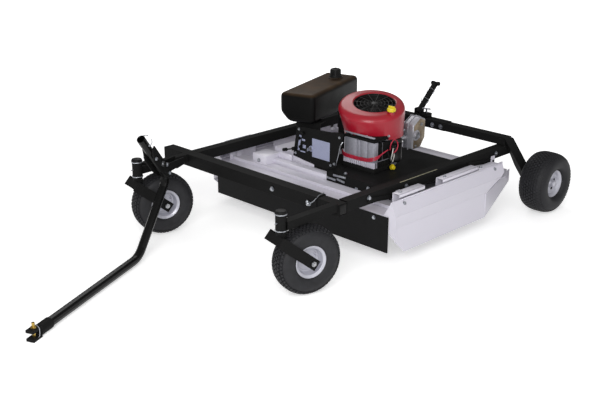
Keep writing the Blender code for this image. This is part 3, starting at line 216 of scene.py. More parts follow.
def dress(node, material, edge=0.0):
    """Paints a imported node, and rounds its edges where it is bent or ground."""
    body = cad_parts[node]
    body.material_slots[0].material = material
    if edge:
        weld = body.modifiers.new("weld", "WELD")
        weld.merge_threshold = 0.00002
        ease = body.modifiers.new("ease", "BEVEL")
        ease.width = edge
        ease.segments = 2
        ease.limit_method = "ANGLE"
        ease.angle_limit = radians(35)
        ease.harden_normals = True


black_enamel = enamel("black_baked_enamel", "#1c1c1c", "#23221f", 0.45, 0.10, coat=0.0, shine=0.03)
for node in ("cross_tube_outer", "cross_tube_inner", "side_beam_left", "side_beam_right", "rear_cross_tube"):
    dress(node, black_enamel, 0.0022)
for node in ("caster_arm_left", "caster_arm_right", "rear_leg_left", "rear_leg_right", "tongue_bracket",
             "caster_fork_left", "caster_fork_right", "hitch_clevis", "lift_lever"):
    dress(node, black_enamel, 0.0014)
for node in ("deck_link_front_left", "deck_link_front_right", "deck_link_rear_left", "deck_link_rear_right"):
    dress(node, black_enamel, 0.0012)


def show(name, shape, material, body, replaces=(), sharp=38):
    """Makes a finished piece from a bmesh and lets it ride on a body."""
    mesh = bpy.data.meshes.new(name)
    shape.to_mesh(mesh)
    shape.free()
    mesh.shade_smooth()
    mesh.set_sharp_from_angle(angle=radians(sharp))
    mesh.materials.append(material)
    made = bpy.data.objects.new(name, mesh)
    scene.collection.objects.link(made)
    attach(made, body)
    if replaces:
        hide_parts(*replaces)


def facing(place, direction):
    """Puts a shape's +Z on a direction and its origin at a place."""
    turn = Vector(direction).to_track_quat("Z", "Y").to_matrix().to_4x4()
    return Matrix.Translation(place) @ turn


def soften(shape, verts, ease, steps=2):
    """Rounds every edge that meets the given corners."""
    edges = list({edge for vert in verts for edge in vert.link_edges})
    bmesh.ops.bevel(shape, geom=edges, offset=ease, segments=steps, affect="EDGES", profile=0.5, material=-1)


def rounded_box(shape, low, high, ease, steps=2, matrix=Matrix()):
    """Adds a box with rounded edges to a shape."""
    low, high = Vector(low), Vector(high)
    size = Matrix.Diagonal((*(high - low), 1))
    made = bmesh.ops.create_cube(shape, size=1, matrix=matrix @ Matrix.Translation((low + high) / 2) @ size)
    soften(shape, made["verts"], ease, steps)


# Outer sleeve of the rear cross tube: the left half slides over the right one and is bolted to it.
# It is the same black enamelled tube, a wall thicker all round, with a ground end.
tube_low, tube_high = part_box("rear_cross_tube")
tube_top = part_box("rear_leg_right")[1].z
sleeve = bmesh.new()
sleeve_wall = 0.004
sleeve_left, sleeve_right = -0.598, 0.190
sleeve_front, sleeve_rear = tube_low.y - sleeve_wall, tube_high.y + sleeve_wall
sleeve_foot = tube_low.z - 0.0002
for low, high in (((sleeve_left, sleeve_front, sleeve_foot), (sleeve_right, tube_low.y, tube_top)),
                  ((sleeve_left, tube_high.y, sleeve_foot), (sleeve_right, sleeve_rear, tube_top)),
                  ((sleeve_left, sleeve_front, tube_top), (sleeve_right, sleeve_rear, tube_top + sleeve_wall))):
    rounded_box(sleeve, low, high, 0.0012)
show("rear_tube_sleeve", sleeve, black_enamel, "frame")


# Bolts: zinc-plated hexagon heads on round washers, put through the tubes and plates.
# Zinc plate is a bright blue-grey metal with small dull patches.
def plated(name, colour, dull, roughness, patch=0.007, metal=1.0):
    """Plated or bare metal: bright, with dull patches a few millimetres across."""
    material, tree, place = new_finish(name, {"Metallic": metal})
    patches = noise(tree, place, patch, 4.0)
    mottle(tree, patches, colour, dull, patches, roughness - 0.08, roughness + 0.15)
    return material


def rod(shape, matrix, sides, foot, head, length, ease=0.0, steps=2):
    """Adds a bar along a matrix's Z between two radii, its edges rounded where asked."""
    made = bmesh.ops.create_cone(shape, cap_ends=True, segments=sides, radius1=foot, radius2=head, depth=length,
                                 matrix=matrix)
    if ease:
        soften(shape, made["verts"], ease, steps)


def hex_bolt(shape, place, direction, across=0.019, high=0.008):
    """Adds a washer and a chamfered hexagon head to a shape."""
    seat = facing(place, direction)
    washer, corner = across * 0.72, across * 0.577
    rod(shape, seat @ Matrix.Translation((0, 0, 0.0013)), 24, washer, washer, 0.002)
    rod(shape, seat @ Matrix.Translation((0, 0, 0.0023 + high / 2)), 6, corner, corner, high, high * 0.12, 1)


zinc = plated("bright_zinc_plate", "#c9ccd2", "#8e9197", 0.30)
frame_bolts = bmesh.new()
beam_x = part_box("side_beam_right")[1].x
beam_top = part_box("side_beam_right")[1].z
cross_low, cross_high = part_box("cross_tube_outer")
for side in (-1, 1):
    for y, z in ((-0.091, 0.410), (0.230, 0.402), (1.111, 0.405)):
        hex_bolt(frame_bolts, at(side * beam_x, y, z), (side, 0, 0))
for x in (-0.640, 0.150):
    hex_bolt(frame_bolts, Vector((x, cross_low.y, beam_top - 0.038)), (0, -1, 0))
for x in (0.087, 0.156):
    hex_bolt(frame_bolts, Vector((x, sleeve_front, 0.459)), (0, -1, 0), 0.022)
show("frame_bolts", frame_bolts, zinc, "frame")


# End plugs: black moulded caps that close the open ends of the square tubes.
# Moulded polyethylene is satin, with a fine spark-eroded grain.
def moulded(name, colour, pale, roughness, grit=0.0016, shine=0.5):
    """Moulded plastic: fine grain, and faint paler scuffs some centimetres across."""
    material, tree, place = new_finish(name, {"Specular IOR Level": shine})
    cloud = noise(tree, place, 0.060, 6.0)
    share = add(tree, "ShaderNodeMapRange", {"Value": cloud, "From Min": 0.45, "From Max": 0.80, "To Max": 0.45})
    mottle(tree, share.outputs[0], colour, pale, cloud, roughness - 0.05, roughness + 0.10)
    grain = add(tree, "ShaderNodeTexVoronoi", {"Vector": place, "Scale": 1 / grit})
    roughen(tree, grain.outputs["Distance"], 0.18, 0.0003)
    return material


black_poly = moulded("black_moulded_polyethylene", "#090909", "#1a1a19", 0.46, shine=0.2)
plugs = bmesh.new()
wall = 0.0056
rounded_box(plugs, (cross_low.x + 0.0005, cross_low.y + wall, cross_low.z + wall),
            (cross_low.x + 0.012, cross_high.y - wall, cross_high.z - wall), 0.003)
inner_low, inner_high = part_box("cross_tube_inner")
rounded_box(plugs, (inner_high.x - 0.012, inner_low.y + wall, inner_low.z + wall),
            (inner_high.x - 0.0005, inner_high.y - wall, inner_high.z - wall), 0.003)
for side in ("left", "right"):
    low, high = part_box("side_beam_" + side)
    rounded_box(plugs, (low.x + 0.0046, high.y - 0.012, low.z + 0.0046),
                (high.x - 0.0046, high.y - 0.0005, high.z - 0.0046), 0.003)
show("tube_end_plugs", plugs, black_poly, "frame")


# Lock pin of the cross tube: a bent wire of bright zinc-plated steel with a knobbed head, put through a
# drilled hole from the front. Its sprung end is snapped over the top of the tube.
def wires(paths, radius):
    """Round wires through the given points, as one bmesh."""
    curve = bpy.data.curves.new("wire", "CURVE")
    curve.dimensions = "3D"
    curve.bevel_depth = radius
    curve.bevel_resolution = 2
    curve.resolution_u = 5
    curve.use_fill_caps = True
    for path in paths:
        line = curve.splines.new("BEZIER")
        line.bezier_points.add(len(path) - 1)
        for point, spot in zip(line.bezier_points, path):
            point.co = spot
            point.handle_left_type = "AUTO"
            point.handle_right_type = "AUTO"
    holder = bpy.data.objects.new("wire", curve)
    scene.collection.objects.link(holder)
    mesh = bpy.data.meshes.new_from_object(holder.evaluated_get(bpy.context.evaluated_depsgraph_get()))
    shape = bmesh.new()
    shape.from_mesh(mesh)
    bpy.data.objects.remove(holder, do_unlink=True)
    bmesh.ops.recalc_face_normals(shape, faces=shape.faces)
    return shape


pin_front = at(0.445, cross_low.y - flap_face, 0.384)
lock_pins = wires([[pin_front + Vector((0.006, -0.014, -0.004)), at(0.470, -0.335, 0.398), at(0.496, -0.334, 0.424),
                    at(0.495, -0.310, 0.4362), at(0.486, -0.272, 0.4362), at(0.482, -0.256, 0.4362)]], 0.0026)
for drop, radius in ((0.0, 0.0115), (0.012, 0.0095)):
    bmesh.ops.create_uvsphere(lock_pins, u_segments=16, v_segments=10, radius=radius,
                              matrix=Matrix.Translation(pin_front + Vector((-drop * 0.4, -0.010, drop))))
hex_bolt(lock_pins, pin_front, (0, -1, 0), 0.019, 0.006)
show("cross_tube_lock_pin", lock_pins, zinc, "frame")


# Caster sleeves: each stem turns in a welded sleeve, with a bright washer at both ends, a ribbed
# dust cap of black plastic on top and a grease nipple in front.
def ribs(shape, count, low, high, ease, centre=Matrix()):
    """Adds a ring of equal small bars round the Z axis."""
    for step in range(count):
        rounded_box(shape, low, high, ease, 1, centre @ Matrix.Rotation(step * 2 * pi / count, 4, "Z"))


caster_rings = bmesh.new()
caster_caps = bmesh.new()
for side in (-1, 1):
    stem = at(side * 0.615, -0.710, 0)
    for z in (0.3805, 0.4690):
        rod(caster_rings, Matrix.Translation(stem + Vector((0, 0, z))), 40, 0.0335, 0.0335, 0.0050, 0.001)
    nipple = stem + Vector((0, -0.0295, 0.424))
    rod(caster_rings, facing(nipple + Vector((0, -0.003, 0)), (0, -1, 0)), 6, 0.0050, 0.0050, 0.006)
    rod(caster_rings, facing(nipple + Vector((0, -0.010, 0)), (0, -1, 0)), 12, 0.0036, 0.0022, 0.010)
    for z, radius, deep in ((0.4765, 0.0315, 0.010), (0.4840, 0.0290, 0.006)):
        rod(caster_caps, Matrix.Translation(stem + Vector((0, 0, z))), 40, radius, radius - 0.002, deep, 0.0012)
    ribs(caster_caps, 12, (0.0300, -0.003, 0.4722), (0.0330, 0.003, 0.4808), 0.0008, Matrix.Translation(stem))
show("caster_washers", caster_rings, zinc, "frame")
show("caster_dust_caps", caster_caps, black_poly, "frame")


# Tyres: pneumatic turf tyres with rows of small square blocks and smooth round sidewalls.
# Rubber is matt black with cloudy paler patches of dust. The blocks are moulded with the tread.
rubber, tree, place = new_finish("turf_tyre_rubber", {"Roughness": 0.62, "Specular IOR Level": 0.35})
mottle(tree, noise(tree, place, 0.030, 6.0), "#111113", "#242428")
roughen(tree, noise(tree, place, 0.0025, 3.0), 0.25, 0.0006)


def spun(profile, steps, closed=True):
    """A shape turned round the X axis from (radius, place along X) points."""
    shape = bmesh.new()
    points = [shape.verts.new((x, 0, radius)) for radius, x in profile]
    pairs = zip(points, points[1:] + points[:1]) if closed else zip(points, points[1:])
    edges = [shape.edges.new(pair) for pair in pairs]
    bmesh.ops.spin(shape, geom=points + edges, cent=(0, 0, 0), axis=(1, 0, 0), angle=2 * pi, steps=steps,
                   use_merge=True)
    bmesh.ops.remove_doubles(shape, verts=shape.verts, dist=0.00002)
    bmesh.ops.recalc_face_normals(shape, faces=shape.faces)
    return shape


def turf_tyre(radius, half, rim, seat, rows, count):
    """A tyre with staggered square blocks, centred on the X axis, its beads at the rim's seats."""
    skin = radius - 0.0050
    bulge = half - seat
    shoulder = [(rim, seat - 0.008), (rim + 0.010, seat + 0.001), (rim + 0.015, seat + bulge * 0.35),
                (rim + 0.023, seat + bulge * 0.75), (rim + 0.038, half - 0.0012), (skin - 0.050, half - 0.0004),
                (skin - 0.034, half - 0.004), (skin - 0.022, half - 0.011), (skin - 0.012, half - 0.021),
                (skin - 0.005, half - 0.034), (skin - 0.0015, half - 0.050)]
    shape = spun(shoulder + [(r, -x) for r, x in reversed(shoulder)], 96)
    pitch = 2 * pi / count
    band = 2 * half - 0.020
    across = band / rows
    for row in range(rows):
        aside = (row - (rows - 1) / 2) * across
        reach = abs(aside) / half
        lean = radians(85) * reach ** 3 * (1 if aside > 0 else -1)
        drop = 0.034 * reach ** 3.4
        stagger = 0.5 * pitch * (row % 2)
        size = Matrix.Diagonal((across * 0.80, radius * pitch * 0.76, 0.0076, 1))
        for step in range(count):
            turn = Matrix.Rotation(step * pitch + stagger, 4, "X")
            spot = turn @ Matrix.Translation((aside, 0, radius - 0.0040 - drop)) @ Matrix.Rotation(lean, 4, "Y")
            made = bmesh.ops.create_cube(shape, size=1, matrix=spot @ size)
            inward = spot.inverted()
            top = sorted(made["verts"], key=lambda vert: -(inward @ vert.co).z)[:4]
            bmesh.ops.scale(shape, vec=(0.84, 0.84, 1), space=inward, verts=top)
    return shape


# Rims: pressed steel discs in silver paint, with a rolled lip, two pressed rings and a welded hub tube.
# The paint is a pale metallic grey, a little dull from dust. Rear rims have a pressed hub cap, and four black discs
# that are painted shade for bolt holes.
silver_paint = enamel("silver_wheel_paint", "#bcbcc6", "#96959a", 0.36, 0.20, metal=0.25)


def wheel_rim(rim, seat, hub, hub_half, bore, face):
    """A rim turned round X: rolled lips, well, a disc with pressed rings at the given face, and hub tube."""
    lip = [(rim - 0.006, seat - 0.004), (rim + 0.003, seat + 0.002), (rim + 0.008, seat + 0.0045),
           (rim + 0.010, seat + 0.003), (rim + 0.010, seat + 0.0005), (rim - 0.001, seat - 0.008)]
    disc = [(bore, hub_half), (hub - 0.002, hub_half), (hub, hub_half - 0.002), (hub + 0.001, face + 0.008),
            (hub + 0.006, face + 0.001), (hub + 0.012, face), (rim * 0.70, face), (rim * 0.74, face + 0.003),
            (rim - 0.014, face + 0.004), (rim - 0.009, face + 0.010)]
    back = [(rim - 0.006, face - 0.010), (rim - 0.012, face - 0.006), (hub + 0.006, face - 0.006),
            (hub, face - 0.012), (hub, 0.002 - hub_half), (hub - 0.002, -hub_half), (bore, -hub_half)]
    return spun(disc + lip + [(r, -x) for r, x in reversed(lip)] + back, 72)


def join(shape, other):
    """Adds another shape's faces to a shape."""
    holder = bpy.data.meshes.new("joined")
    other.to_mesh(holder)
    other.free()
    shape.from_mesh(holder)
    bpy.data.meshes.remove(holder)


def put_on_axle(shape, hand, place):
    """Mirrors a wheel's piece to its side and sets it at its place."""
    bmesh.ops.scale(shape, vec=(hand, 1, 1), verts=shape.verts)
    bmesh.ops.recalc_face_normals(shape, faces=shape.faces)
    bmesh.ops.transform(shape, matrix=place, verts=shape.verts)


for side in ("left", "right"):
    for prefix, body, half, inset, rows, count, rim, bore in (
            ("caster_" + side, "caster_wheel_" + side, 0.065, 0.014, 7, 52, 0.080, 0.0088),
            ("rear_" + side, "rear_wheel_" + side, 0.095, 0.032, 10, 52, 0.078, 0.0133)):
        low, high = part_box(prefix + "_tyre")
        caster = prefix.startswith("caster")
        swing = Matrix.Rotation(radians(-16), 4, "Z") if caster else Matrix()
        place = Matrix.Translation((low + high) / 2) @ swing
        tyre = turf_tyre((high.z - low.z) / 2, half, rim + 0.001, half - inset, rows, count)
        bmesh.ops.transform(tyre, matrix=place, verts=tyre.verts)
        show(prefix + "_turf_tyre", tyre, rubber, body, [prefix + "_tyre"], 50)
        face = 0.004 if caster else 0.042
        hand = -1 if prefix == "rear_left" else 1
        disc = wheel_rim(rim, half - inset, 0.024, 0.0690 if caster else 0.0545, bore, face)
        valve = facing(Vector((face + 0.010, 0.048, 0.020)), (1, 0.25, 0))
        rod(disc, valve, 12, 0.0045, 0.0035, 0.026)
        if not caster:
            join(disc, spun([(0.0, 0.0735), (0.013, 0.0730), (0.0195, 0.0690), (0.0215, 0.0555), (0.0205, 0.0555),
                             (0.0185, 0.0680), (0.0, 0.0715)], 40, False))
            # Black discs on the rear disc's face: painted shade standing for four open bolt holes.
            hole_shade = bmesh.new()
            for step in range(4):
                spot = Matrix.Rotation(radians(20 + 90 * step), 4, "X") @ Vector((face + 0.0008, 0, 0.0405))
                rod(hole_shade, facing(spot, (1, 0, 0)), 24, 0.0100, 0.0085, 0.0020, 0.0005, 1)
            put_on_axle(hole_shade, hand, place)
            show(prefix + "_painted_bolt_hole_shade", hole_shade, black_poly, body)
        put_on_axle(disc, hand, place)
        show(prefix + "_pressed_rim", disc, silver_paint, body, [prefix + "_rim"])

# Axle bolts of the casters and the tongue's pivot bolt: bright steel hexagon heads, lightly oiled.
# The hitch pin is a turned steel pin, yellow zinc plated, held by a sprung wire loop.
steel = plated("bright_machined_steel", "#c4c5c8", "#7f8083", 0.28)
yellow_zinc = plated("yellow_zinc_plate", "#d3b25e", "#8f7a3e", 0.30)
for node in ("caster_axle_left", "caster_axle_right", "tongue_pivot"):
    dress(node, steel, 0.0010)
dress("tongue_tube", enamel("black_gloss_enamel", "#0c0c0c", "#1b1a18", 0.24, 0.05, coat=0.06, shine=0.12), 0.0014)
dress("hitch_pin", yellow_zinc, 0.0010)
pin_low, pin_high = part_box("hitch_pin")
pin_head = Vector(((pin_low.x + pin_high.x) / 2, (pin_low.y + pin_high.y) / 2, pin_high.z))
tongue_angle = radians(24)
ahead = Vector((sin(tongue_angle), -cos(tongue_angle), 0))
beside = Vector((cos(tongue_angle), sin(tongue_angle), 0))
spring = wires([[pin_head + beside * aside - Vector((0, 0, drop)) for aside, drop in (
    (0.009, 0.010), (0.030, 0.020), (0.034, 0.045), (0.026, 0.074), (0.004, 0.0845))]], 0.0016)
show("hitch_pin_spring", spring, zinc, "hitch_pin")


# Tongue hardware: hexagon bolts through the bracket's cheeks, and a lock pin with a wire loop on the raised
# end of the tube. The tube's open end shows its wall.
heel = at(-0.440, -0.627, 0)
ear_face = 0.0342
tongue_bolts = bmesh.new()
for run, z in ((0.175, 0.562), (0.052, 0.492), (0.026, 0.433)):
    for hand in (-1, 1):
        spot = heel + ahead * run + beside * hand * ear_face + Vector((0, 0, z))
        hex_bolt(tongue_bolts, spot, beside * hand, 0.017, 0.007)
for run, aside in ((-0.130, -0.075), (-0.095, -0.110)):
    hex_bolt(tongue_bolts, heel + ahead * run + beside * aside + Vector((0, 0, 0.4414)), (0, 0, 1), 0.017, 0.007)
show("tongue_bracket_bolts", tongue_bolts, zinc, "frame")
slope = Vector((ahead.x * 0.270, ahead.y * 0.270, 0.305)).normalized()
top_end = heel + ahead * 0.270 + Vector((0, 0, 0.700))
lock = top_end - slope * 0.060
below = slope.cross(beside)
loop = wires([[lock + beside * aside + slope * along + below * down for aside, along, down in (
    (0.031, 0, 0), (0.038, 0, 0.014), (0.034, 0.022, 0.034), (0.010, 0.034, 0.044), (-0.024, 0.022, 0.036),
    (-0.038, 0, 0.014), (-0.031, 0, 0))]], 0.0024)
rod(loop, facing(lock, beside), 16, 0.0055, 0.0055, 0.070)
show("tongue_lock_pin", loop, zinc, "tongue")


# Lift lever: a painted tube with a cross grip in a black sleeve, two lock pins with wire loops, and
# a clamp block with a hand bolt on the cross tube.
lever_foot = at(-0.060, 1.240, 0.521)
lever_angle = radians(44)
lean = Vector((0, cos(lever_angle), sin(lever_angle)))
under = Vector((0, sin(lever_angle), -cos(lever_angle)))
grip_end = lever_foot + lean * 0.235
grips = bmesh.new()
for hand in (-1, 1):
    grip = facing(grip_end + Vector((hand * 0.0225, 0, 0)), (hand, 0, 0))
    rod(grips, grip, 24, 0.0150, 0.0140, 0.018, 0.002)
show("lift_lever_grips", grips, black_poly, "lift_lever")
pin_runs = (0.075, 0.155)
pin_loop = ((0.026, 0, 0), (0.032, 0.010, 0), (0.020, 0.018, 0.022), (0, 0.020, 0.030), (-0.020, 0.018, 0.022),
            (-0.032, 0.010, 0), (-0.026, 0, 0))
lever_pins = wires([[lever_foot + Vector((aside, 0, 0)) + lean * (run + along) - under * out
                     for aside, along, out in pin_loop] for run in pin_runs], 0.0018)
for run in pin_runs:
    rod(lever_pins, facing(lever_foot + lean * run, (1, 0, 0)), 16, 0.005, 0.005, 0.056)
show("lift_lever_lock_pins", lever_pins, zinc, "lift_lever")
clamp = bmesh.new()
rounded_box(clamp, (lever_foot.x + 0.029, tube_high.y - 0.050, tube_top + 0.0045),
            (lever_foot.x + 0.085, tube_high.y + 0.002, tube_top + 0.032), 0.004)
show("lever_clamp_block", clamp, black_enamel, "frame")
hand_bolt = bmesh.new()
bolt_foot = Vector((lever_foot.x + 0.057, tube_high.y - 0.024, tube_top + 0.032))
rod(hand_bolt, Matrix.Translation(bolt_foot + Vector((0, 0, 0.015))), 16, 0.006, 0.006, 0.030)
rod(hand_bolt, facing(bolt_foot + Vector((0, 0, 0.027)), (1, 0.4, 0)), 16, 0.005, 0.005, 0.056)
show("lever_hand_bolt", hand_bolt, zinc, "frame")


# Deck: pressed and welded steel sheet under white gloss enamel, faintly lavender in the shade.
# The side skirts are creased lengthwise, lean in above the upper crease, and are folded in at the front and rear.
white_enamel = enamel("white_baked_enamel", "#d8d5e0", "#aeaab0", 0.32, 0.30, 0.0026, coat=0.15)
for node, edge in (("deck_top", 0.0), ("deck_channel_front", 0.0014), ("deck_channel_rear", 0.0014),
                   ("belt_cover", 0.0016)):
    dress(node, white_enamel, edge)


def sheet(shape, corners, thickness, creases=(), lean=None):
    """Adds a flat sheet through the corners, with level creases that a lean function bends."""
    face = shape.faces.new([shape.verts.new(corner) for corner in corners])
    verts, edges, faces = list(face.verts), list(face.edges), [face]
    for z in creases:
        made = bmesh.ops.bisect_plane(shape, geom=verts + edges + faces, plane_co=(0, 0, z), plane_no=(0, 0, 1))
        verts = [item for item in made["geom"] if isinstance(item, bmesh.types.BMVert)]
        edges = [item for item in made["geom"] if isinstance(item, bmesh.types.BMEdge)]
        faces = [item for item in made["geom"] if isinstance(item, bmesh.types.BMFace)]
    if lean:
        for vert in verts:
            vert.co.x -= lean(vert.co.z)
    shape.normal_update()
    bmesh.ops.solidify(shape, geom=faces, thickness=thickness)


lower_crease, upper_crease = 0.226, 0.299


def skirt_lean(z):
    """How far a side skirt leans in at a height: in to the lower crease, out to the upper one, well in above."""
    bottom = 0.100
    inward = min(lower_crease - bottom, max(0.0, z - bottom)) * 0.05
    outward = min(upper_crease - lower_crease, max(0.0, z - lower_crease)) * 0.08
    return inward - outward + max(0.0, z - upper_crease) * 0.50


side_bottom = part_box("deck_side_right")[0].z
skirt_x = 0.7798
skirt_sheet = 0.0045
for name, hand in (("left", -1), ("right", 1)):
    skirt = bmesh.new()
    outline = ((0.090, side_bottom), (0.865, side_bottom), (0.865, 0.222), (1.060, 0.318), (1.073, 0.378),
               (0.0086, 0.3755), (0.0086, 0.150))
    creases = (lower_crease, upper_crease)
    sheet(skirt, [at(skirt_x, y, z) for y, z in outline], skirt_sheet, creases, skirt_lean)
    sheet(skirt, [at(skirt_x, 0.864, side_bottom), at(0.6945, 1.233, 0.200), at(0.6945, 1.233, 0.2825),
                  at(skirt_x, 0.864, 0.222)], skirt_sheet)
    flange = ((0.7293, 0.185), (0.7790, 0.156), (0.7790, 0.299), (0.7430, 0.3750), (0.6900, 0.2890), (0.7293, 0.2885))
    sheet(skirt, [at(x, 0.0090, z) for x, z in flange], skirt_sheet)
    for z, y1 in ((lower_crease, 0.866), (upper_crease, 1.015)):
        bead_x = skirt_x - skirt_lean(z)
        rounded_box(skirt, at(bead_x - 0.0015, 0.012, z - 0.0022), at(bead_x + 0.0010, y1, z + 0.0022), 0.0008, 1)
    bmesh.ops.scale(skirt, vec=(hand, 1, 1), verts=skirt.verts)
    bmesh.ops.recalc_face_normals(skirt, faces=skirt.faces)
    show("deck_skirt_" + name, skirt, white_enamel, "deck", ["deck_side_" + name], 4)

# Deck fittings: a rolled hem along the top of each skirt, folded C-section brackets beside the frame, and
# an upright bracket at the front left. They are bent from the deck's own white sheet.
fittings = bmesh.new()
deck_face = 0.2885
for hand in (-1, 1):
    bars = [(0.7385, 0.7495, 0.100, 1.070, 0.3705, 0.3775, 0.003),
            (0.740, 0.756, 0.012, 1.050, deck_face, 0.2960, 0.003)]
    for y0, y1, top in ((0.078, 0.305, 0.406), (0.470, 0.812, 0.402), (0.840, 1.030, 0.376)):
        bars += [(0.690, 0.693, y0, y1, deck_face, top, 0.0012), (0.690, 0.742, y0, y1, top - 0.003, top, 0.0012),
                 (0.739, 0.742, y0, y1, top - 0.020, top, 0.0012)]
    for x0, x1, y0, y1, z0, z1, ease in bars:
        low, high = sorted((hand * x0, hand * x1))
        rounded_box(fittings, at(low, y0, z0), at(high, y1, z1), ease)
for low, high in (((-0.520, 0.125, deck_face), (-0.400, 0.250, 0.3650)),
                  ((-0.400, 0.195, deck_face), (0.075, 0.2515, 0.3350)),
                  ((-0.400, 0.2470, 0.3300), (-0.284, 0.2505, 0.3720)),
                  ((-0.296, 0.2605, deck_face), (0.060, 0.2630, 0.3780))):
    rounded_box(fittings, at(*low), at(*high), 0.0012)
show("deck_brackets", fittings, white_enamel, "deck")

# Deck bolts: zinc-plated hexagon heads on washers, put through the sheet from outside.
# They stand along the flap, on the skirts, on the brackets and on the engine platform.
deck_bolts = bmesh.new()
for x in (-0.627, -0.315, 0.0, 0.315, 0.627):
    hex_bolt(deck_bolts, at(x, 0, 0.262), (0, -1, 0), 0.016, 0.006)
for hand in (-1, 1):
    for y, z in ((0.110, 0.352), (0.978, 0.352)):
        hex_bolt(deck_bolts, at(hand * (0.7802 - skirt_lean(z)), y, z), (hand, 0, 0.5), 0.015, 0.005)
    for y, z in ((0.116, 0.406), (0.520, 0.402), (0.880, 0.376)):
        hex_bolt(deck_bolts, at(hand * 0.7160, y, z), (0, 0, 1), 0.014, 0.005)
hex_bolt(deck_bolts, at(-0.460, 0.125, 0.328), (0, -1, 0), 0.018, 0.007)
for x, y in ((0.053, 0.290), (0.200, 0.225), (0.540, 0.225), (0.540, 0.870), (-0.070, 0.870), (-0.070, 0.600)):
    hex_bolt(deck_bolts, at(x, y, 0.366), (0, 0, 1), 0.017, 0.007)
for x, z in ((0.324, 0.310), (0.417, 0.337)):
    hex_bolt(deck_bolts, at(x, 0.187, z), (0, -1, 0), 0.016, 0.006)
show("deck_bolts", deck_bolts, zinc, "deck")

# Front flap: a black rubber-faced steel sheet that hangs in front of the deck.
# Engine platform, tank stand and panel: folded sheet, in the same black enamel as the frame.
flap_rubber = moulded("black_flap_sheet", "#0b0b0c", "#171718", 0.50, 0.0030, 0.14)
dress("front_flap", flap_rubber, 0.0015)
for node in ("engine_platform", "tank_stand", "control_panel"):
    dress(node, black_enamel, 0.0012)

# Latch bars: bright flat bars bolted on the front of the platform's step, and a pale strip along the
# top of the right beam. The bars are zinc-plated steel, and the strip is a painted highlight of the beam's edge.
latch = bmesh.new()
for x0, x1, z, tilt in ((0.086, 0.158, 0.3285, -3), (0.168, 0.232, 0.3325, -8), (0.138, 0.240, 0.3570, 2)):
    seat = Matrix.Translation(at((x0 + x1) / 2, 0.1865, z)) @ Matrix.Rotation(radians(-tilt), 4, "Y")
    rounded_box(latch, (-(x1 - x0) / 2, -0.0065, -0.0065), ((x1 - x0) / 2, 0, 0.0065), 0.002, 2, seat)
show("platform_latch_bars", latch, zinc, "deck")
# A pale strip on the beam's top: a painted highlight of the beam's edge, not worn metal.
edge_highlight = bmesh.new()
rounded_box(edge_highlight, at(0.6545, 0.180, beam_top + 0.0002), at(0.6615, 0.520, beam_top + 0.0012), 0.0004, 1)
show("beam_painted_highlight", edge_highlight, plated("painted_edge_highlight", "#d8d6b8", "#a9a78c", 0.40), "frame")


# Blower housing: one deep-drawn steel shell in brick-red enamel, with a rolled mouth over the fan.
# Its crown is wider than its foot and set off to the left; its top slopes down towards the front right.
red_enamel = enamel("brick_red_enamel", "#a01428", "#6e3a2c", 0.30, 0.30, 0.0022, 0.15, 0.40)
crank_low, crank_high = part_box("crankshaft")
axis = Vector(((crank_low.x + crank_high.x) / 2, (crank_low.y + crank_high.y) / 2, 0))
shell_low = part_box("blower_housing")[0].z
fall = tan(radians(12))
fall_way = Vector((cos(radians(-49)), sin(radians(-49)), 0))
set_off = Vector((cos(radians(-139)), sin(radians(-139)), 0)) * 0.017
crown_r, foot_r, mouth_r, crown = 0.2048, 0.1822, 0.1302, 0.742


def lathe(profile, steps, closed=True):
    """A shape turned round the Z axis from (radius, height) points."""
    shape = spun([(radius, z) for radius, z in profile], steps, closed)
    bmesh.ops.rotate(shape, cent=(0, 0, 0), matrix=Matrix.Rotation(-pi / 2, 3, "Y"), verts=shape.verts)
    return shape


round_r = 0.036
shoulder = [(crown_r - round_r + round_r * cos(step * pi / 16), crown - round_r + round_r * sin(step * pi / 16))
            for step in range(9)]
shell = lathe([
    (foot_r + 0.0015, shell_low + 0.0005), (foot_r + 0.0015, shell_low + 0.007), (foot_r + 0.0003, shell_low + 0.009),
    *shoulder, (mouth_r + 0.012, crown + 0.0015), (mouth_r + 0.006, crown + 0.003), (mouth_r + 0.001, crown),
    (mouth_r, crown - 0.006), (mouth_r, crown - 0.0265), (mouth_r + 0.003, crown - 0.0265),
    (mouth_r + 0.004, crown - 0.008), (crown_r - round_r, crown - 0.004), (crown_r - 0.006, crown - round_r),
    (foot_r - 0.004, shell_low + 0.0005)], 96)
for vert in shell.verts:
    rise = min(1.0, max(0.0, (vert.co.z - shell_low - 0.010) / (crown - 0.040 - shell_low - 0.010)))
    outward = min(1.0, max(0.0, (vert.co.xy.length - mouth_r - 0.012) / (crown_r - 0.048 - mouth_r)))
    if rise == 0:
        vert.co.z -= 0.012 * max(0.0, vert.co.xy.normalized().dot((cos(0.35), sin(0.35)))) ** 2
    vert.co += set_off * rise * outward
    vert.co.z -= rise * fall * vert.co.dot(fall_way)
bmesh.ops.translate(shell, vec=axis, verts=shell.verts)
oil_low, oil_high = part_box("oil_filler_cap")
oil_spot = (oil_low + oil_high) / 2
rod(shell, Matrix.Translation((oil_spot.x, oil_spot.y, oil_low.z - 0.0135)), 28, 0.019, 0.016, 0.026)
show("blower_shell", shell, red_enamel, "deck", ["blower_housing"], 40)

# Shell screws: small zinc-plated hexagon heads on washers, round the foot of the shell.
# They hold the shell to the engine block below it.
shell_screws = bmesh.new()
for bearing in (-150, -95, -62, -20, 35, 95, 150):
    way = Vector((cos(radians(bearing)), sin(radians(bearing)), 0))
    hex_bolt(shell_screws, axis + way * (foot_r + 0.0028) + Vector((0, 0, shell_low + 0.018)), way, 0.011, 0.004)
show("blower_screws", shell_screws, zinc, "deck")
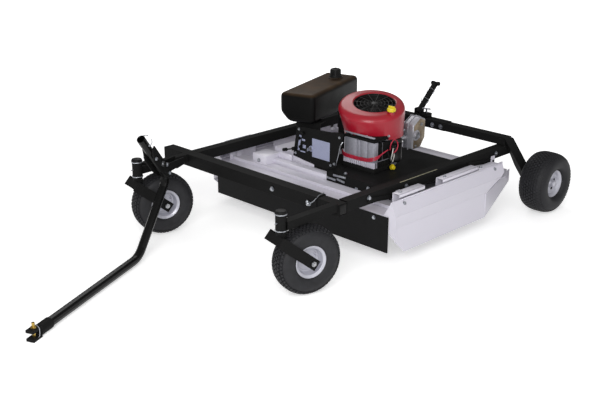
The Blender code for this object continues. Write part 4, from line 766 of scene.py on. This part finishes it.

# Fan screen: a black moulded disc with rings and spokes that turns on the crank. Over it a fixed guard of
# black wire rings and spokes is pressed into the mouth's collar, flush with the rolled edge; the dark band lining the
# collar is painted shade.
screen_low, screen_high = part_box("blower_screen")
screen_foot = screen_low.z + 0.0004
top = screen_high.z - 0.012
rings = [(0.0, top + 0.004), (0.022, top + 0.004), (0.024, top), (0.030, top - 0.001), (0.032, top - 0.006)]
for radius in (0.046, 0.060, 0.074, 0.088, 0.102):
    rings += [(radius - 0.002, top - 0.006), (radius - 0.0015, top - 0.002),
              (radius + 0.0015, top - 0.002), (radius + 0.002, top - 0.006)]
rings += [(0.110, top - 0.006), (0.112, top - 0.001), (0.1195, top - 0.001), (0.1214, top - 0.003),
          (0.1214, top - 0.0115), (0.040, top - 0.0118), (0.038, screen_foot), (0.0, screen_foot)]
screen = lathe(rings, 72, closed=False)
ribs(screen, 18, (0.030, -0.0016, top - 0.0075), (0.114, 0.0016, top - 0.0012), 0.0006)
bmesh.ops.translate(screen, vec=axis, verts=screen.verts)
dark_poly = moulded("dark_fan_plastic", "#0b0a0a", "#221f1c", 0.42, shine=0.35)
show("fan_screen", screen, dark_poly, "crank", ["blower_screen"], 30)
guard = bmesh.new()
for radius in (0.020, 0.042, 0.064, 0.086, 0.108, 0.1285):
    upright = Matrix.Translation((radius, 0, 0)) @ Matrix.Rotation(pi / 2, 4, "X")
    wire = bmesh.ops.create_circle(guard, segments=6, radius=0.0022, matrix=upright)["verts"]
    bmesh.ops.spin(guard, geom=wire + list({edge for vert in wire for edge in vert.link_edges}), cent=(0, 0, 0),
                   axis=(0, 0, 1), angle=2 * pi, steps=56, use_merge=True)
bmesh.ops.remove_doubles(guard, verts=guard.verts, dist=0.00002)
bmesh.ops.recalc_face_normals(guard, faces=guard.faces)
ribs(guard, 12, (0.018, -0.0016, -0.0020), (0.129, 0.0016, 0.0016), 0.0006)
rod(guard, Matrix(), 32, 0.021, 0.018, 0.006, 0.001)
guard_z = 0.7385
for vert in guard.verts:
    vert.co.z += guard_z - fall * vert.co.dot(fall_way)
# A dark band on the inside of the mouth's collar: painted shade of the collar's inner wall.
shade_liner_foot, shade_liner_top = 0.6990, 0.7395
shade_liner = lathe([(0.1276, shade_liner_foot), (0.1299, shade_liner_foot), (0.1299, shade_liner_top), (0.1276, shade_liner_top)], 72)
for vert in shade_liner.verts:
    if vert.co.z > (shade_liner_foot + shade_liner_top) / 2:
        vert.co.z -= fall * vert.co.dot(fall_way)
join(guard, shade_liner)
bmesh.ops.translate(guard, vec=axis, verts=guard.verts)
show("inlet_guard_and_shade_liner", guard, dark_poly, "deck", sharp=30)


# Engine block: cast aluminium with cooling fins in front, split by an upright groove, on a bolted sump.
# Raw casting is a soft grey metal with a sandy skin; the low fins get a paler copy of it, as painted light.
def cast_metal(name, colour, dark, roughness, metal):
    """Raw casting: sandy grain, and darker patches about a centimetre across."""
    material = plated(name, colour, dark, roughness, 0.012, metal)
    tree = material.node_tree
    place = add(tree, "ShaderNodeTexCoord").outputs["Object"]
    roughen(tree, noise(tree, place, 0.0016, 3.0), 0.30, 0.0005)
    return material


casting = cast_metal("sand_cast_aluminium", "#b4b4be", "#8e8e98", 0.48, 0.40)
dress("crankcase", casting, 0.0020)
for node in ("spindle_housing_left", "spindle_housing_right"):
    dress(node, casting, 0.0015)
panels = bmesh.new()
for x0, x1 in ((0.0830, 0.1800), (0.1865, 0.2070), (0.2135, 0.2660), (0.2715, 0.3210)):
    rounded_box(panels, at(x0, 0.3410, 0.4360), at(x1, 0.380, 0.5560), 0.0030)
rounded_box(panels, at(0.0850, 0.3350, 0.5830), at(0.3240, 0.3470, 0.5920), 0.0025)
show("cylinder_panels", panels, casting, "deck")
fin_pitch, fin_width, fin_foot, fin_top = 0.0158, 0.0104, 0.3970, 0.4310
low_fins = bmesh.new()
for step in range(16):
    x = 0.0765 + step * fin_pitch
    rounded_box(low_fins, at(x, 0.3370, fin_foot), at(x + fin_width, 0.370, fin_top), 0.0012, 1)
# A paler copy of the casting for the low fins: painted light, so they read brighter than the shaded block.
lit_fin_casting = cast_metal("paler_cast_aluminium_painted_light", "#dcd8e6", "#c2becc", 0.45, 0.15)
show("cylinder_low_fins", low_fins, lit_fin_casting, "deck")
sump_and_shade = bmesh.new()
# The right face's panels and fins are black enamel: painted shade for that face, which stands in shadow.
for y0, y1 in ((0.3480, 0.4180), (0.4250, 0.4960)):
    rounded_box(sump_and_shade, at(0.300, y0, 0.4360), at(0.3205, y1, 0.5470), 0.0030)
for step in range(9):
    y = 0.352 + step * fin_pitch
    rounded_box(sump_and_shade, at(0.300, y, fin_foot), at(0.3245, y + fin_width, fin_top), 0.0012, 1)
# The first and last boxes, under the shell, are black as painted shade under its overhang; the middle two are the
# sump's black foot.
for low, high, ease in (((0.0800, 0.3375, 0.5575), (0.3245, 0.470, 0.5715), 0.002),
                        ((0.0640, 0.3320, 0.3668), (0.3320, 0.380, 0.3965), 0.003),
                        ((0.3000, 0.3450, 0.3668), (0.3300, 0.500, 0.3965), 0.003),
                        ((0.0860, 0.3475, 0.5720), (0.3225, 0.460, 0.5810), 0.002)):
    rounded_box(sump_and_shade, at(*low), at(*high), ease)
show("sump_and_painted_shade", sump_and_shade, black_enamel, "deck")

# Starter motor: a drawn steel can with a cast end bell, strapped to the crankcase and painted dull black.
# Its solenoid is a smaller can fixed beside it.
starter_low, starter_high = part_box("starter_motor")
starter_axis = (starter_low + starter_high) / 2
foot, head = starter_low.z, starter_high.z
can = lathe([(0.0, foot + 0.001), (0.030, foot + 0.001), (0.034, foot + 0.006), (0.0395, foot + 0.012),
             (0.0395, foot + 0.034), (0.0382, foot + 0.036), (0.0382, head - 0.036), (0.0395, head - 0.034),
             (0.0395, head - 0.010), (0.035, head - 0.003), (0.012, head - 0.001), (0.0, head - 0.001)], 48, False)
bmesh.ops.translate(can, vec=(starter_axis.x, starter_axis.y, 0), verts=can.verts)
rod(can, Matrix.Translation((starter_axis.x + 0.022, starter_axis.y - 0.050, 0.490)), 28, 0.017, 0.017, 0.060)
show("starter_can", can, dark_poly, "deck", ["starter_motor"])


# Wiring: stranded leads in red, white and black plastic covers, a few millimetres thick.
# They are clipped along the front of the block and looped round the starter.
def route(*points):
    """A lead's way through the given points."""
    return [at(*point) for point in points]


red_lead = moulded("red_lead_cover", "#b3263e", "#8a1a2a", 0.40)
white_lead = moulded("white_lead_cover", "#d9d6d0", "#b5b1aa", 0.42)
loom = [route((0.052, 0.352, 0.452 + rise), (0.084, 0.335, 0.444 + rise), (0.150, 0.334, 0.440 + rise),
              (0.230, 0.334, 0.442 + rise), (0.300, 0.335, 0.452 + rise), (0.328, 0.356, 0.464 + rise),
              (0.332, 0.400, 0.480), (0.340, 0.446, 0.500)) for rise in (-0.008, 0.0, 0.008)]
loom.append(route((0.352, 0.452, 0.500), (0.362, 0.450, 0.545), (0.364, 0.478, 0.562), (0.366, 0.506, 0.520),
                  (0.360, 0.488, 0.482), (0.352, 0.470, 0.478)))
show("red_leads", wires(loom, 0.0038), red_lead, "deck")
pale = [route((0.346, 0.494, 0.500), (0.366, 0.462, 0.500), (0.366, 0.452, 0.460), (0.344, 0.470, 0.425)),
        route((0.340, 0.500, 0.470), (0.362, 0.480, 0.460), (0.352, 0.478, 0.420))]
show("white_leads", wires(pale, 0.0030), white_lead, "deck")
dark = [route((0.080, 0.350, 0.560), (0.060, 0.336, 0.530), (0.058, 0.340, 0.470), (0.070, 0.352, 0.420)),
        route((-0.010, 0.262, 0.560), (0.030, 0.290, 0.575), (0.062, 0.340, 0.566)),
        route((0.332, 0.440, 0.505), (0.352, 0.440, 0.470), (0.350, 0.450, 0.400), (0.320, 0.430, 0.370))]
show("black_leads", wires(dark, 0.0045), black_poly, "deck")

# Oil filler cap and drain plug: moulded yellow plastic, the cap with a finger grip across it.
# The cap screws onto a neck on the shell, and the plug into the foot of the block.
yellow_poly = moulded("yellow_moulded_plastic", "#d9c21c", "#b59d18", 0.36)
cap_foot, cap_top = oil_low.z, oil_low.z + 0.022
oil_cap = lathe([(0.0, cap_foot + 0.0002), (0.0240, cap_foot + 0.0002), (0.0258, cap_foot + 0.002),
                 (0.0258, cap_top - 0.005), (0.0240, cap_top - 0.001), (0.0200, cap_top), (0.0, cap_top)], 48, False)
rounded_box(oil_cap, (-0.0225, -0.0058, cap_top - 0.004), (0.0225, 0.0058, oil_high.z - 0.0003), 0.003)
ribs(oil_cap, 16, (0.0245, -0.002, cap_foot + 0.003), (0.0268, 0.002, cap_top - 0.004), 0.0006)
bmesh.ops.translate(oil_cap, vec=(oil_spot.x, oil_spot.y, 0), verts=oil_cap.verts)
show("oil_filler_knob", oil_cap, yellow_poly, "oil_filler_cap", ["oil_filler_cap"])
drain = bmesh.new()
hex_bolt(drain, at(0.3400, 0.490, 0.382), (1, -0.3, 0), 0.024, 0.020)
show("oil_drain_plug", drain, yellow_poly, "deck")


# Muffler: two pressed clam halves of aluminised steel, crimped together along a seam, with a cover plate on
# the right that heat has browned. Its outlet is a short ring, and a bolt holds its strap at the top.
aluminised = plated("aluminised_steel", "#bcbcc4", "#929297", 0.34, 0.030, 0.40)
heat_steel = plated("heat_browned_steel", "#a0927c", "#6b5b48", 0.38, 0.030, 0.60)
muffler_low, muffler_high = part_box("muffler")
muffler_left, muffler_right = 0.232, 0.310
front, back = 0.721, 0.841
base, peak = muffler_low.z, muffler_high.z
outline = ((front, base), (back - 0.045, base), (back, base + 0.058), (back, peak - 0.018), (back - 0.045, peak),
           (front + 0.065, peak), (front, peak - 0.041))


def slab(shape, outline, x0, x1, ease, steps, grow=0.0):
    """Adds a plate with an outline in Y and Z between two places along X, its edges rounded."""
    middle = Vector((sum(y for y, z in outline) / len(outline), sum(z for y, z in outline) / len(outline)))
    corners = []
    for y, z in outline:
        out = (Vector((y, z)) - middle).normalized() * grow
        corners.append(shape.verts.new(at(x0, y + out.x, z + out.y)))
    face = shape.faces.new(corners)
    raised = bmesh.ops.extrude_face_region(shape, geom=[face])["geom"]
    lifted = [item for item in raised if isinstance(item, bmesh.types.BMVert)]
    bmesh.ops.translate(shape, vec=(x1 - x0, 0, 0), verts=lifted)
    soften(shape, corners + lifted, ease, steps)
    bmesh.ops.recalc_face_normals(shape, faces=shape.faces)


muffler = bmesh.new()
slab(muffler, outline, muffler_left + 0.001, muffler_right - 0.001, 0.010, 3)
slab(muffler, outline, 0.2660, 0.2690, 0.001, 1, 0.006)
slab(muffler, outline, muffler_left - 0.001, muffler_left + 0.0015, 0.001, 1, 0.003)
outlet = at(muffler_right, 0.751, 0.523)
bmesh.ops.create_cone(muffler, cap_ends=False, segments=40, radius1=0.026, radius2=0.022, depth=0.016,
                      matrix=facing(outlet + Vector((0.006, 0, 0)), (1, 0, 0)))
rod(muffler, facing(outlet, (1, 0, 0)), 40, 0.034, 0.034, 0.0030)
crank_way = (at(0.271, 0.781, 0) - axis).normalized()
crank_way.z = 0
pipe_start, pipe_end = at(0.271, 0.781, 0.500), axis + crank_way * 0.122 + Vector((0, 0, 0.500))
pipe = pipe_end - pipe_start
rod(muffler, facing((pipe_start + pipe_end) / 2, pipe), 28, 0.0178, 0.0178, pipe.length)
show("clamshell_muffler", muffler, aluminised, "deck", ["muffler"])
cover = bmesh.new()
slab(cover, outline, muffler_right - 0.003, muffler_right + 0.0012, 0.002, 2, -0.010)
show("muffler_cover", cover, heat_steel, "deck")
strap = bmesh.new()
hex_bolt(strap, at(muffler_right - 0.001, 0.798, 0.586), (1, 0, 0), 0.016, 0.006)
hex_bolt(strap, at(muffler_right - 0.001, 0.745, 0.455), (1, 0, 0), 0.013, 0.005)
rod(strap, facing(outlet + Vector((0.004, 0, 0)), (1, 0, 0)), 32, 0.0195, 0.0195, 0.002)
show("muffler_bolts", strap, steel, "deck")


# Fuel tank: one rotationally moulded black box with broad round edges, a cut lower left edge and a raised filler.
# Polyethylene is satin black; the taupe tone on its top is a painted reflection of warm light.
# The taupe second tone on faces that look up is a painted reflection, not dust.
tank_poly = enamel("black_tank_polyethylene", "#0d0d0d", "#5a4632", 0.40, 0.95, 0.0020, 0.0, 0.07)
wide, long, tall = 0.240, 0.661, 0.185
tank_turn = Matrix.Translation(at(-0.319, 0.5395, 0.600)) @ Matrix.Rotation(radians(17.5), 4, "Z")
tank = bmesh.new()
tank_size = Matrix.Diagonal((wide, long, tall, 1))
bmesh.ops.create_cube(tank, size=1, matrix=Matrix.Translation((0, 0, tall / 2)) @ tank_size)
lower_left = [edge for edge in tank.edges if all(vert.co.x < 0 and vert.co.z < tall / 2 for vert in edge.verts)]
bmesh.ops.bevel(tank, geom=lower_left, offset=0.060, segments=1, affect="EDGES", profile=0.5, material=-1)
bmesh.ops.bevel(tank, geom=tank.edges[:], offset=0.029, segments=5, affect="EDGES", profile=0.5, material=-1)
bmesh.ops.transform(tank, matrix=tank_turn, verts=tank.verts)
filler = tank_turn @ Vector((0.016, 0.188, tall))
collar = lathe([(0.050, -0.004), (0.050, 0.002), (0.046, 0.005), (0.034, 0.006), (0.0272, 0.008), (0.0272, 0.035),
                (0.022, 0.035), (0.022, -0.004)], 40)
bmesh.ops.translate(collar, vec=filler, verts=collar.verts)
join(tank, collar)
show("moulded_tank", tank, tank_poly, "deck", ["fuel_tank"])

# Fuel cap: a ribbed screw cap of black plastic, wider at its foot, with a flat top and a vent boss.
# It is moulded in one piece and screws onto the filler's neck.
cap_height = 0.0655
cap = lathe([(0.0, cap_height), (0.010, cap_height), (0.012, cap_height - 0.004), (0.027, cap_height - 0.005),
             (0.0315, cap_height - 0.008), (0.0330, cap_height - 0.014), (0.0345, 0.020), (0.0380, 0.012),
             (0.0420, 0.009), (0.0430, 0.006), (0.0430, 0.0008), (0.030, 0.0008), (0.030, 0.040), (0.0, 0.042)],
            48, False)
ribs(cap, 18, (0.0315, -0.0024, 0.018), (0.0362, 0.0024, cap_height - 0.012), 0.0010)
bmesh.ops.translate(cap, vec=filler, verts=cap.verts)
show("ribbed_fuel_cap", cap, black_poly, "fuel_cap", ["fuel_cap"])


# Control panel: folded black sheet with small plates, knobs, a choke rod, and the throttle and key.
# The plates are plain satin aluminium, and small bolts hold the panel to its brackets.
panel_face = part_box("control_panel")[0].y
dress("throttle_lever", black_poly, 0.0010)
dress("ignition_key", steel, 0.0006)
brushed = plated("satin_aluminium_plate", "#b2b7d2", "#9499b4", 0.42, 0.004, 0.35)
plates = bmesh.new()
plate_back = panel_face - 0.0001
rounded_box(plates, (-0.110, panel_face - 0.0014, 0.400), (0.040, plate_back, 0.520), 0.0006, 1)
rod(plates, facing(Vector((-0.120, panel_face - 0.002, 0.450)), (0, -1, 0)), 32, 0.019, 0.017, 0.004)
slider = Matrix.Translation((-0.2215, panel_face, 0.468)) @ Matrix.Rotation(radians(10), 4, "Y")
rounded_box(plates, (-0.0085, -0.0030, -0.0520), (0.0085, -0.0001, 0.0520), 0.0010, 1, slider)
for x0, x1, z0, z1 in ((-0.192, -0.166, 0.440, 0.462), (-0.200, -0.172, 0.486, 0.499),
                       (-0.212, -0.170, 0.412, 0.420)):
    rounded_box(plates, (x0, panel_face - 0.0030, z0), (x1, plate_back, z1), 0.0010, 1)
show("panel_plates", plates, brushed, "deck")
choke = wires([route((0.140, 0.262, 0.545), (0.134, 0.2515, 0.527), (0.118, 0.2505, 0.465), (0.100, 0.2515, 0.401),
                     (0.094, 0.258, 0.384))], 0.0030)
show("choke_rod", choke, zinc, "deck")
knobs = ((-0.215, 0.500), (-0.180, 0.540), (-0.200, 0.450))
panel_bits = bmesh.new()
for x, z in knobs:
    rod(panel_bits, facing(Vector((x, panel_face - 0.014, z)), (0, -1, 0)), 24, 0.011, 0.009, 0.020, 0.002)
show("panel_knobs", panel_bits, black_poly, "deck")
panel_bolts = bmesh.new()
for x, z in ((-0.255, 0.395), (0.080, 0.395), (0.120, 0.570), (-0.225, 0.555), (0.050, 0.380)):
    hex_bolt(panel_bolts, Vector((x, panel_face, z)), (0, -1, 0), 0.012, 0.005)
for x, z in knobs:
    rod(panel_bolts, facing(Vector((x, panel_face - 0.004, z)), (0, -1, 0)), 16, 0.006, 0.006, 0.008)
show("panel_bolts", panel_bolts, zinc, "deck")


# Cutting gear: bar blades of plain spring steel, turned spindles and pulleys, and rubber V-belts.
# The steel is grey with a film of oil; the belts are matt black with a woven cover.
blade_steel = plated("oiled_blade_steel", "#8d8e92", "#5c5a57", 0.38, 0.018)
for node in ("blade_left", "blade_right"):
    dress(node, blade_steel, 0.0012)
for node in ("spindle_left", "spindle_right", "crankshaft"):
    dress(node, steel, 0.0010)
belt_rubber = moulded("belt_rubber", "#101010", "#232323", 0.70, 0.0012)
for node in ("belt_left", "belt_right"):
    dress(node, belt_rubber, 0.0008)


size = {"cad": [list(corner) for corner in cad_box], "visual": [list(corner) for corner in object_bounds()]}
